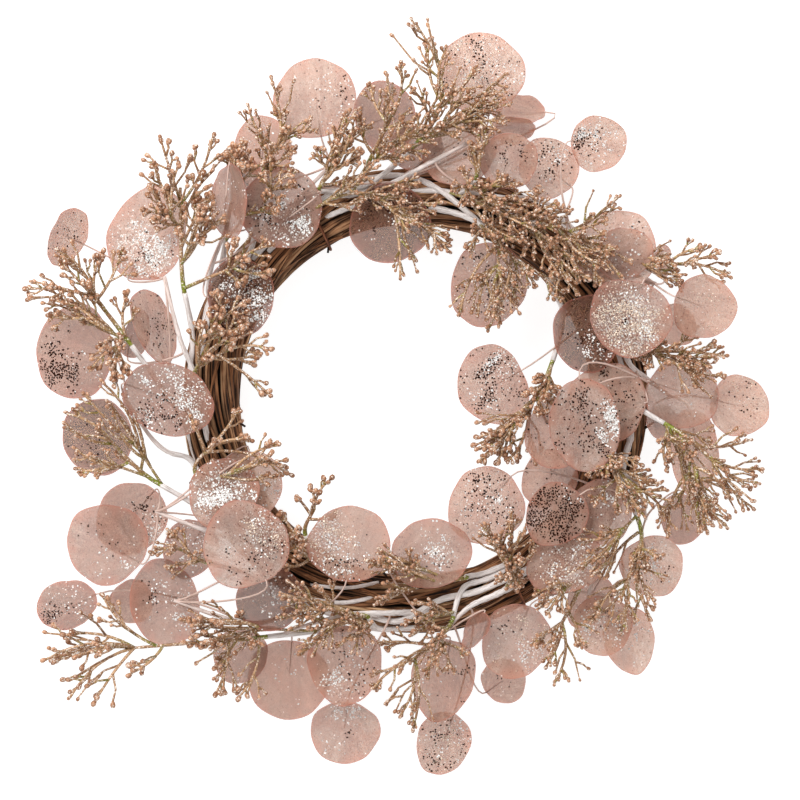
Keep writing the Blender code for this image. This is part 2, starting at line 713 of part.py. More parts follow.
def build_picks(placed):
    """Place the leaves, then the stems and stalks that reach them, and fuse each pick."""
    fabric = material("blush_leaf_fabric", "D3ACA0", 0.6)
    heights = settle_leaves(placed)
    stems = []
    for pick, (root_clock, middle, tip, _) in enumerate(PICKS):
        path, stem = place_stem(root_clock, middle, tip, STEM_RADIUS, 4, placed, pick)
        placed.append((pick, tree(stem)))
        stems.append((path, stem))
    for pick, (_, _, _, leaves) in enumerate(PICKS):
        path, stem = stems[pick]
        shapes = [stem]
        for place, leaf in enumerate(leaves):
            height = heights[pick, place]
            options = list(stalk_options(leaf, height, path))
            owners = (pick, (pick, place), "room for stems")
            found = first_clear(options, placed, owners)
            if found is None:
                family = [(pick, other) for other in range(len(leaves))]
                found = first_clear(options, placed, (*owners, *family))
            if found is None:
                raise ValueError(f"no room for the stalk of the leaf at {leaf[:2]}")
            shapes.append(stalked_leaf(leaf, height, found[1]))
            placed.append((pick, tree(shapes[-1])))
        fused_object(f"leaf_pick_{pick + 1:02d}", shapes, fabric)


def build_sprays(placed):
    """Place and fuse the bud sprays in what room is left."""
    glitter = material("bronze_glitter", "A98468", 0.45, 0.4)
    for number, spray in enumerate(SPRAYS, start=1):
        name = f"bud_spray_{number:02d}"
        fused_object(name, place_spray(number, spray, placed, name), glitter)


def build_wreath():
    """Clear the scene and build every piece of the wreath."""
    for old in list(bpy.data.objects):
        bpy.data.objects.remove(old)
    placed = []
    build_ring(placed)
    build_picks(placed)
    build_sprays(placed)


build_wreath()
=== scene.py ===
import itertools
import math
from functools import partial

import bpy
import numpy as np
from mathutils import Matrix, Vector
from mathutils.bvhtree import BVHTree


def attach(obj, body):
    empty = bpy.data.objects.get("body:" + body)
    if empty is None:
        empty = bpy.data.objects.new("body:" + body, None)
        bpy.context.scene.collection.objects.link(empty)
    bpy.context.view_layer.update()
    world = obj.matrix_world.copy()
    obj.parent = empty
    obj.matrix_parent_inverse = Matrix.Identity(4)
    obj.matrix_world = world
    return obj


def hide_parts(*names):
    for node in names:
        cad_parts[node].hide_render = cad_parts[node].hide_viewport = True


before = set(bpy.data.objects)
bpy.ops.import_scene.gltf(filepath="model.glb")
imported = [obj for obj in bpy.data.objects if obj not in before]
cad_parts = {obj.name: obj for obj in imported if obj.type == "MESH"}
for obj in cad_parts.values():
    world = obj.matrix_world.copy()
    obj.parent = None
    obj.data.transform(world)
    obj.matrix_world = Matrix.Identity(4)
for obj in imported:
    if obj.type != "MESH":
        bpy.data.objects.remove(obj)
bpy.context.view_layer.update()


# Canes of the ring
# Long grapevine shoots, cut green and wound round and round into a bundle, then dried. The
# canes lie nearly side by side and turn slowly round the bundle. Their bark is ridged and dull.

MM = 0.001
UP = np.array([0.0, 0.0, 1.0])
RING_CENTRE = np.array([13.2, -0.4, 0.0])
RING_RADIUS = 166.0
VINE_RADIUS = 4.7                # of an outer vine in the CAD, which stands for several canes
VINE_HALF_PITCH = 4.88           # half the way between the middles of two neighbours
VINE_PLACES = 12                 # of them round the bundle
BUNDLE_RADIUS = VINE_HALF_PITCH / math.sin(math.pi / VINE_PLACES) + VINE_RADIUS
TIE_ROOM = 3.5                   # a tie's thickness and its gap, below the bundle
RING_HEIGHT = BUNDLE_RADIUS + TIE_ROOM      # of the bundle's middle over the surface
STEEP = 0.9                      # rise of a path's start past which its sides start from +X

# Layers of canes: how many, their middles from the bundle's middle, radius, turns round the
# bundle for one turn of the ring, steps along and sides
OUTER_CANES = ((19, 19.8, 2.95, 1, 144, 8), (17, 14.6, 2.9, 1, 72, 6))
INNER_CANES = ((12, 9.6, 2.7, -1, 72, 5), (6, 4.6, 2.9, 1, 72, 5))
STRAY_CANES = ((5, 22.0, 1.5, 2, 144, 6), (4, 22.2, 1.2, -1, 144, 6))
SIZE_SPREAD = 0.22               # of canes' radii, as a share
LANE_WOBBLE = 4.6                # degrees that a cane strays sideways
REACH_WOBBLE = 0.9               # millimetres that it strays in or out
LUMPS = 0.12                     # of a cane along its length, as a share of its radius
KNOT_SWELL = 0.64                # and at its sharpest knots

# Waves of each in one turn of the ring: the fewest, and one more than the most
LANE_WAVES = (2, 9)
REACH_WAVES = (3, 12)
KNOT_WAVES = (5, 11)
LUMP_WAVES = (9, 23)

# Between these two reaches the bark is painted with shade, darkest deep in the gaps between canes.
DARK_REACH = 18.2                # from the bundle's middle: where the gaps are darkest,
LIT_REACH = 22.6                 # and where the canes are in full light
GRAIN_APART = 40.0               # between the bark patterns of two tubes, so that none is repeated


def heading(degrees):
    """Return level directions at clock angles: their cosine and sine, and no height."""
    angles = np.radians(degrees)
    return np.stack([np.cos(angles), np.sin(angles), np.zeros_like(angles)], axis=-1)


def ring_point(clock, lane, reach):
    """Return points round the bundle, at a lane angle and a reach from its middle.

    The distance from the ring's centre is its radius plus the reach times the lane's cosine,
    and the height is the bundle's plus the reach times the lane's sine.
    """
    lanes = np.radians(lane)
    out = np.expand_dims(RING_RADIUS + reach * np.cos(lanes), -1)
    return heading(clock) * out + np.expand_dims(RING_HEIGHT + reach * np.sin(lanes), -1) * UP


def unit(vectors):
    """Return vectors at length one."""
    return vectors / np.linalg.norm(vectors, axis=-1, keepdims=True)


def carry_round(paths, radii, sides, closed=False):
    """Carry a circle along each of many paths, as corners by tube, ring and side.

    A corner is its ring's middle plus the radius times the cosine of its angle along a side
    vector and times its sine along the other. The side vector starts level, and at each ring
    it loses the part of it that lies along the path, so the tube doesn't twist.
    """
    if closed:
        tangents = unit(np.roll(paths, -1, axis=1) - np.roll(paths, 1, axis=1))
    else:
        tangents = unit(np.gradient(paths, axis=1))
    steep = np.abs(tangents[:, 0, 2:]) > STEEP
    side = np.cross(tangents[:, 0], np.where(steep, [1.0, 0.0, 0.0], UP))
    sides_along = []
    for tangent in tangents.transpose(1, 0, 2):
        side = unit(side - tangent * (side * tangent).sum(axis=1, keepdims=True))
        sides_along.append(side)
    side = np.stack(sides_along, axis=1)[:, :, None]
    other = np.cross(tangents[:, :, None], side)
    angles = (np.arange(sides) * 2 * math.pi / sides)[:, None]
    return (paths[:, :, None] + np.broadcast_to(radii, paths.shape[:2])[:, :, None, None]
            * (np.cos(angles) * side + np.sin(angles) * other))


def grid_faces(tubes, rings, sides, closed=False, start=0):
    """Join each grid corner to its neighbours: quads between rings, and a fan at open ends.

    Corner numbers begin at start and run by tube, ring and side. After all grids come the two
    ends' middles of each tube, where the tubes are open.
    """
    ring = np.arange(rings if closed else rings - 1)
    tube, ring, side = np.meshgrid(np.arange(tubes), ring, np.arange(sides), indexing="ij")
    here = tube * rings * sides + ring * sides
    there = tube * rings * sides + (ring + 1) % rings * sides
    after = (side + 1) % sides
    quads = np.stack([here + side, here + after, there + after, there + side], -1).reshape(-1, 4)
    quads = (quads + start).tolist()
    if closed:
        return quads
    tube, side = np.meshgrid(np.arange(tubes), np.arange(sides), indexing="ij")
    first = tube * rings * sides
    last = first + (rings - 1) * sides
    after = (side + 1) % sides
    root = tubes * rings * sides + tube
    roots = np.stack([root, first + after, first + side], -1).reshape(-1, 3)
    tips = np.stack([root + tubes, last + side, last + after], -1).reshape(-1, 3)
    return quads + (np.concatenate([roots, tips]) + start).tolist()


def mesh_piece(name, corners, faces, finish, attributes):
    """Put corners, in millimetres from the ring's middle, and faces into a new smooth mesh.

    attributes holds an array for each of the corners' own values that a material reads.
    """
    mesh = bpy.data.meshes.new(name)
    mesh.from_pydata((corners + RING_CENTRE) * MM, [], faces)
    mesh.polygons.foreach_set("use_smooth", np.ones(len(mesh.polygons), bool))
    for key, values in attributes.items():
        kind = "FLOAT" if values.ndim == 1 else "FLOAT_VECTOR"
        layer = mesh.attributes.new(key, kind, "POINT")
        layer.data.foreach_set("value" if values.ndim == 1 else "vector",
                               values.astype(np.float32).ravel())
    mesh.materials.append(finish)
    piece = bpy.data.objects.new(name, mesh)
    bpy.context.scene.collection.objects.link(piece)
    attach(piece, "root")
    return piece


def tube_piece(name, batches, finish, closed=False):
    """Make one mesh of batches of tubes: (paths, radii, sides, values for the attributes).

    The grain of a corner is where it lies on its own tube: across it, twice, and along it.
    """
    corners = []
    faces = []
    values = {}
    for paths, radii, sides, extra in batches:
        grid = carry_round(paths, radii, sides, closed)
        tubes, rings = paths.shape[:2]
        faces += grid_faces(tubes, rings, sides, closed, sum(len(part) for part in corners))
        steps = np.linalg.norm(np.diff(paths, axis=1), axis=2)
        along = np.concatenate([np.zeros((tubes, 1)), np.cumsum(steps, axis=1)], axis=1)
        angles = np.arange(sides) * 2 * math.pi / sides
        width = np.broadcast_to(radii, (tubes, rings))[:, :, None]
        grain = np.stack([width * np.cos(angles) + GRAIN_APART * np.arange(tubes)[:, None, None],
                          width * np.sin(angles),
                          np.broadcast_to(along[:, :, None], (tubes, rings, sides))], -1)
        shape = (tubes, rings, sides)
        extra = {key: np.broadcast_to(value, shape) for key, value in extra.items()}
        ends = [] if closed else [paths[:, 0], paths[:, -1]]
        corners.append(np.concatenate([grid.reshape(-1, 3), *ends]))
        ends = [] if closed else [grain[:, 0].mean(axis=1), grain[:, -1].mean(axis=1)]
        values.setdefault("grain", []).append(np.concatenate([grain.reshape(-1, 3), *ends]))
        for key, value in extra.items():
            ends = [] if closed else [value[:, 0, 0], value[:, -1, 0]]
            values.setdefault(key, []).append(np.concatenate([value.reshape(-1), *ends]))
    values = {key: np.concatenate(parts) for key, parts in values.items()}
    return mesh_piece(name, np.concatenate(corners), faces, finish, values)


def sine_waves(rng, count, clock, lowest, highest):
    """Return the mean of three sine waves of whole numbers of turns, for each of count canes."""
    turns = rng.integers(lowest, highest, (count, 3, 1))
    shift = rng.uniform(0, 2 * math.pi, (count, 3, 1))
    return np.sin(turns * np.radians(clock) + shift).mean(axis=1)


def wind_canes(layers, rng):
    """Lay out layers of canes as closed loops.

    A cane's lane angle is its own place plus the bundle's turns times the clock angle, and a
    mean of sine waves moves it sideways. Another moves it in and out, and a third makes it
    lumpy. The fourth power of one more, where that is above nought, swells it at its knots.
    """
    batches = []
    for count, reach, radius, turns, steps, sides in layers:
        clock = np.arange(steps) * 360.0 / steps
        place = np.arange(count)[:, None] * 360.0 / count
        lane = place + turns * clock + LANE_WOBBLE * sine_waves(rng, count, clock, *LANE_WAVES)
        size = radius * rng.uniform(1 - SIZE_SPREAD, 1 + SIZE_SPREAD, (count, 1))
        knots = np.maximum(0, sine_waves(rng, count, clock, *KNOT_WAVES)) ** 4
        lumps = sine_waves(rng, count, clock, *LUMP_WAVES)
        radii = size * (1 + LUMPS * lumps + KNOT_SWELL * knots)
        depth = reach + REACH_WOBBLE * sine_waves(rng, count, clock, *REACH_WAVES)
        paths = ring_point(clock + np.zeros((count, 1)), lane, depth)
        tone = rng.uniform(0, 1, (count, 1, 1))
        batches.append((paths, radii, sides, {"tone": tone}))
    return batches


def darken_gaps(piece):
    """Store how far each corner stands out of the bundle, from 0 deep in it to 1 outside, for the
    painted shade in the gaps between canes.
    """
    places = np.zeros(3 * len(piece.data.vertices), np.float32)
    piece.data.vertices.foreach_get("co", places)
    x, y, z = (places.reshape(-1, 3) / MM - RING_CENTRE).T
    reach = np.hypot(np.hypot(x, y) - RING_RADIUS, z - RING_HEIGHT)
    out = np.clip((reach - DARK_REACH) / (LIT_REACH - DARK_REACH), 0, 1)
    piece.data.attributes.new("out", "FLOAT", "POINT").data.foreach_set("value", out)


def linear(colour):
    """Turn an sRGB hex colour into linear red, green and blue, with full alpha."""
    channels = np.array([int(colour[place:place + 2], 16) / 255 for place in (0, 2, 4)])
    low = channels / 12.92
    high = ((channels + 0.055) / 1.055) ** 2.4
    return (*np.where(channels <= 0.04045, low, high).tolist(), 1.0)


def put(finish, socket, value):
    """Link another node's output to an input, or set it to a number, vector or hex colour."""
    if isinstance(value, bpy.types.NodeSocket):
        finish.node_tree.links.new(value, socket)
    else:
        socket.default_value = linear(value) if isinstance(value, str) else value


def add_node(finish, kind, *values, output=None, **named):
    """Add a shader node with its settings and inputs, and return its output.

    Names in small letters are settings, and the other names are inputs. Values without a name
    go into the inputs that the node shows with those settings, in their order.
    """
    node = finish.node_tree.nodes.new("ShaderNode" + kind)
    for key, value in named.items():
        if key.islower():
            setattr(node, key, value)
    shown = [socket for socket in node.inputs if socket.enabled]
    for socket, value in zip(shown, values):
        put(finish, socket, value)
    for key, value in named.items():
        if not key.islower():
            put(finish, node.inputs[key], value)
    results = [socket for socket in node.outputs if socket.enabled]
    return node.outputs[output] if output else results[0]


def new_finish(name):
    """Make a material, and return it with the function that adds nodes to it."""
    finish = bpy.data.materials.new(name)
    finish.use_nodes = True
    return finish, partial(add_node, finish)


def dress(finish, **sockets):
    """Put values or outputs into the sockets of a material's own shader, and return it."""
    shader = finish.node_tree.nodes["Principled BSDF"]
    for key, value in sockets.items():
        put(finish, shader.inputs[key.replace("_", " ")], value)
    return finish


def vine_bark(name, dark, middle, light):
    """Dried vine bark: dull, with fibres and cracks that run along it some 2 mm apart, patches
    of wear 20 mm long, widened into painted shade, each cane its own shade of brown, and dark
    with dust and painted shade where the attribute out says that it lies deep between the others."""
    finish, add = new_finish(name)
    grain = add("Attribute", attribute_name="grain", output="Vector")
    tone = add("Attribute", attribute_name="tone", output="Fac")
    out = add("Attribute", attribute_name="out", output="Fac")
    stretched = add("Mapping", grain, Scale=(1.0, 1.0, 0.045))
    fibres = add("TexNoise", Vector=stretched, Scale=0.55, Detail=4.0, Roughness=0.65)
    patches = add("TexNoise", Vector=grain, Scale=0.05, Detail=2.0)
    cracked = add("MapRange", fibres, 0.4, 0.52)
    pale = add("MapRange", fibres, 0.49, 0.62)
    pale = add("Math", pale, tone, operation="MULTIPLY")
    body = add("Mix", cracked, dark, middle, data_type="RGBA")
    body = add("Mix", pale, body, light, data_type="RGBA")
    # Patches 20 mm long, partly wear and partly painted shade: some are made much darker to stand
    # in for shadows on the ring.
    wear_and_shade = add("MapRange", patches, 0.35, 0.65, 0.5, 1.2)
    # Painted shade: the gaps between canes are darkened by how deep the attribute out says they
    # lie.
    sunlit = add("MapRange", out, 0.32, 0.92, 0.02, 1.0)
    lit = add("Math", wear_and_shade, sunlit, operation="MULTIPLY")
    body = add("VectorMath", body, lit, operation="SCALE")
    bump = add("Bump", Height=fibres, Strength=0.9, Distance=0.9 * MM)
    return dress(finish, Base_Color=body, Normal=bump, Roughness=0.82, Specular_IOR_Level=0.25)


bark = vine_bark("dried_vine_bark", "1E110A", "966442", "EFC79A")
rng = np.random.default_rng(11)
outer = wind_canes(OUTER_CANES, rng) + wind_canes(STRAY_CANES, rng)
canes = tube_piece("vine_canes", outer, bark, closed=True)
darken_gaps(canes)
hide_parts("vine_outer_1", "vine_outer_2", "vine_outer_3", "vine_outer_4")
core = tube_piece("vine_core", wind_canes(INNER_CANES, rng), bark, closed=True)
darken_gaps(core)
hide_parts("vine_inner")


# Ties
# Lengths of thinner reddish vine, bent round the bundle while green to hold the canes together,
# with the ends lapped and pushed in under the canes. The wreath rests on their undersides.

TIE_CLOCKS = (28.6, 118.6, 208.6, 298.6)
TIE_WIRE = 1.2                   # radius of the tying vine
TIE_REACH = RING_HEIGHT - TIE_WIRE
TIE_TURNS = 1.22                 # round the bundle, so that the ends lap below
TIE_START = 230.0                # lane of the first end
TIE_SLANT = 7.5                  # along the ring for one turn
TIE_TUCK = 5.0                   # of an end, in under the canes
TIE_TUCK_TURN = 0.09             # over this much of a turn
TIE_LUMPS = 0.07                 # of the tying vine, as a share of its radius
TIE_LUMP_WAVES = 23
TIE_POINTS = 80
TIE_SIDES = 8

tie_bark = vine_bark("thin_reddish_vine_bark", "4A2618", "8A5238", "B07A58")
for number, clock in enumerate(TIE_CLOCKS, start=1):
    turn = np.linspace(0, TIE_TURNS, TIE_POINTS)
    ends = np.minimum(turn, TIE_TURNS - turn)
    tuck = TIE_TUCK * np.clip(1 - ends / TIE_TUCK_TURN, 0, 1) ** 2
    offset = (turn - TIE_TURNS / 2) * TIE_SLANT
    clocks = clock + np.degrees(offset / RING_RADIUS)
    path = ring_point(clocks, TIE_START + 360 * turn, TIE_REACH - tuck)
    wire = TIE_WIRE * (1 - TIE_LUMPS * (1 + np.sin(TIE_LUMP_WAVES * turn + number)))
    tie = tube_piece(f"vine_binding_{number}", [(path[None], wire[None], TIE_SIDES, {
        "tone": 0.5, "out": 1.0})], tie_bark)
    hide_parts(f"vine_tie_{number}")


# Cut ends of canes
# Where a shoot ends, its cut tip stands a few millimetres off the bundle. The ends are weathered
# nearly black.

CUT_ENDS = (                     # clock, lane, length off the bundle, lean along the ring
    (-8.0, 10, 9.0, 40), (-53.0, 350, 8.0, -30), (198.0, 15, 9.0, 35), (211.0, 350, 10.0, 30),
    (186.0, 170, 6.0, 40), (262.0, 160, 6.0, -40), (60.0, 200, 7.0, 40), (118.0, 170, 6.0, 35))
END_RADIUS = 1.3
END_TAPER = 0.35                 # of the radius, from root to tip
END_BURIED = 5.0                 # length below the bundle's outside
END_POINTS = 6

cut_wood = vine_bark("weathered_cut_wood", "0C0806", "2A1C14", "4A3424")
along = np.linspace(0, 1, END_POINTS)
paths = []
for clock, lane, length, lean in CUT_ENDS:
    out = ring_point(clock, lane, 1.0) - ring_point(clock, lane, 0.0)
    course = unit(out + heading(clock + 90) * math.tan(math.radians(lean)))
    start = ring_point(clock, lane, BUNDLE_RADIUS - END_BURIED)
    reach = np.outer(along * (length + END_BURIED), course)
    paths.append(start + reach + np.outer(along ** 2, UP))
tapers = np.broadcast_to(END_RADIUS * (1 - END_TAPER * along), (len(CUT_ENDS), END_POINTS))
stubs = tube_piece("cut_vine_ends", [(np.array(paths), tapers, 6, {
    "tone": 0.3, "out": 1.0})], cut_wood)


# Leafy picks
# Each pick is a wire stem wrapped in white paper that carries three to seven round leaves on
# thin stalks. The leaves are die-cut from sheer blush fabric and gently cupped, and carry glued
# glitter. The picks are pushed in between the canes, all the same way round.

# For each pick: root clock, the stem's middle and tip (x, y, height), and its leaves. For a leaf:
# x, y, length, width, direction of the stalk, pitch, roll, layer
PICKS = (
    (182, (-190, 45, 56), (-203, 100, 52), (
        (-283, 133, 50, 50, 335, 58, 0, 2),
        (-217, 133, 80, 64, 245, 8, -12, 3),
        (-212, 58, 64, 60, 290, 0, 60, 2),
        (-228, 53, 40, 36, 250, 0, 55, 1))),
    (204, (-205, -45, 56), (-234, 0, 50), (
        (-275, 39, 62, 78, 355, 10, 5, 3),
        (-200, 1, 76, 58, 160, -6, 8, 5),
        (-258, -30, 58, 63, 20, 12, -5, 1))),
    (228, (-165, -108, 60), (-210, -90, 52), (
        (-231, -96, 62, 56, 50, 8, -6, 1),
        (-249, -117, 66, 66, 330, -6, 6, 3),
        (-154, -75, 60, 56, 60, 12, 8, 4),
        (-134, -68, 58, 54, 90, 4, -10, 2),
        (-182, -120, 50, 44, 60, 10, 4, 1))),
    (250, (-122, -188, 50), (-195, -162, 50), (
        (-281, -166, 50, 52, 20, 5, 42, 3),
        (-231, -164, 40, 36, 0, 30, 0, 1),
        (-202, -164, 56, 72, 15, 6, -8, 3),
        (-136, -117, 70, 71, 300, -5, -8, 5),
        (-117, -160, 52, 56, 90, 10, 6, 1))),
    (272, (-55, -172, 60), (-105, -188, 52), (
        (-103, -227, 66, 68, 85, -8, 5, 1),
        (-142, -207, 48, 44, 60, 12, -8, 1),
        (-57, -213, 66, 61, 95, 5, 6, 3),
        (-57, -269, 52, 57, 85, -10, -4, 2),
        (-53, -117, 62, 68, 265, 6, 4, 5))),
    (297, (38, -172, 60), (14, -196, 54), (
        (12, -124, 66, 57, 190, -5, 8, 5),
        (23, -225, 68, 54, 80, 6, 18, 3),
        (23, -278, 54, 44, 70, -12, 5, 2),
        (72, -229, 36, 38, 215, 10, 6, 1),
        (49, -186, 34, 34, 60, 0, 60, 1))),
    (330, (152, -125, 58), (140, -158, 52), (
        (82, -194, 62, 57, 70, -4, -10, 4),
        (122, -131, 65, 50, 20, 8, 6, 4),
        (152, -182, 50, 48, 90, 10, -5, 3),
        (174, -194, 56, 42, 100, -8, 8, 2),
        (142, -162, 48, 36, 60, 5, -6, 1))),
    (350, (180, -62, 58), (187, -97, 52), (
        (114, -92, 54, 50, 40, 10, -8, 5),
        (58, -85, 64, 62, 50, -5, 10, 4),
        (109, -63, 50, 44, 60, 8, 5, 1),
        (151, -89, 54, 50, 90, -8, 6, 2),
        (218, -96, 42, 38, 90, 10, -10, 1),
        (192, -134, 50, 52, 110, -6, 5, 3))),
    (20, (182, 22, 58), (208, 2, 54), (
        (136, -19, 76, 58, 97, -6, -10, 5),
        (117, -26, 60, 56, 60, 8, 8, 4),
        (156, -2, 64, 64, 0, 6, -5, 3),
        (215, 6, 60, 60, 160, -8, 6, 2),
        (262, -5, 50, 50, 165, -12, -5, 3),
        (227, -41, 72, 56, 95, 5, 48, 1),
        (201, -19, 32, 26, 120, 8, 0, 1))),
    (50, (152, 112, 60), (195, 94, 54), (
        (64, 12, 56, 68, 28, -6, 8, 3),
        (202, 112, 28, 26, 270, 0, 60, 1),
        (173, 67, 62, 68, 70, 5, -6, 6),
        (232, 75, 52, 52, 160, -10, 6, 5),
        (212, 61, 36, 34, 150, 8, 6, 1),
        (140, 55, 64, 58, 80, 6, 10, 3))),
    (76, (92, 165, 60), (124, 152, 54), (
        (59, 94, 70, 62, 70, 8, -8, 2),
        (148, 208, 46, 46, 175, -8, 8, 3),
        (109, 188, 50, 49, 320, 6, 5, 2),
        (162, 120, 66, 68, 230, -5, -6, 1),
        (168, 118, 48, 42, 200, 8, 6, 2))),
    (106, (0, 185, 60), (44, 208, 54), (
        (54, 264, 68, 70, 280, -10, 5, 3),
        (85, 235, 44, 50, 0, 0, 60, 1),
        (79, 220, 36, 40, 180, 0, 58, 1),
        (75, 193, 50, 48, 250, 28, 5, 4),
        (35, 201, 62, 56, 200, 6, -8, 2),
        (2, 204, 44, 40, 0, -8, 6, 1))),
    (135, (-98, 160, 60), (-66, 192, 54), (
        (-20, 143, 66, 66, 60, 6, 8, 3),
        (-81, 243, 66, 68, 280, -10, -5, 3),
        (-24, 230, 66, 60, 200, 42, 0, 1),
        (-124, 206, 50, 48, 270, -8, 6, 1))),
    (165, (-170, 95, 58), (-153, 138, 56), (
        (-107, 155, 67, 66, 25, 5, -8, 4),
        (-149, 162, 60, 56, 90, 0, 58, 2),
        (-136, 166, 56, 40, 270, 0, 45, 1),
        (-142, 83, 54, 66, 180, -6, 8, 4))),
)
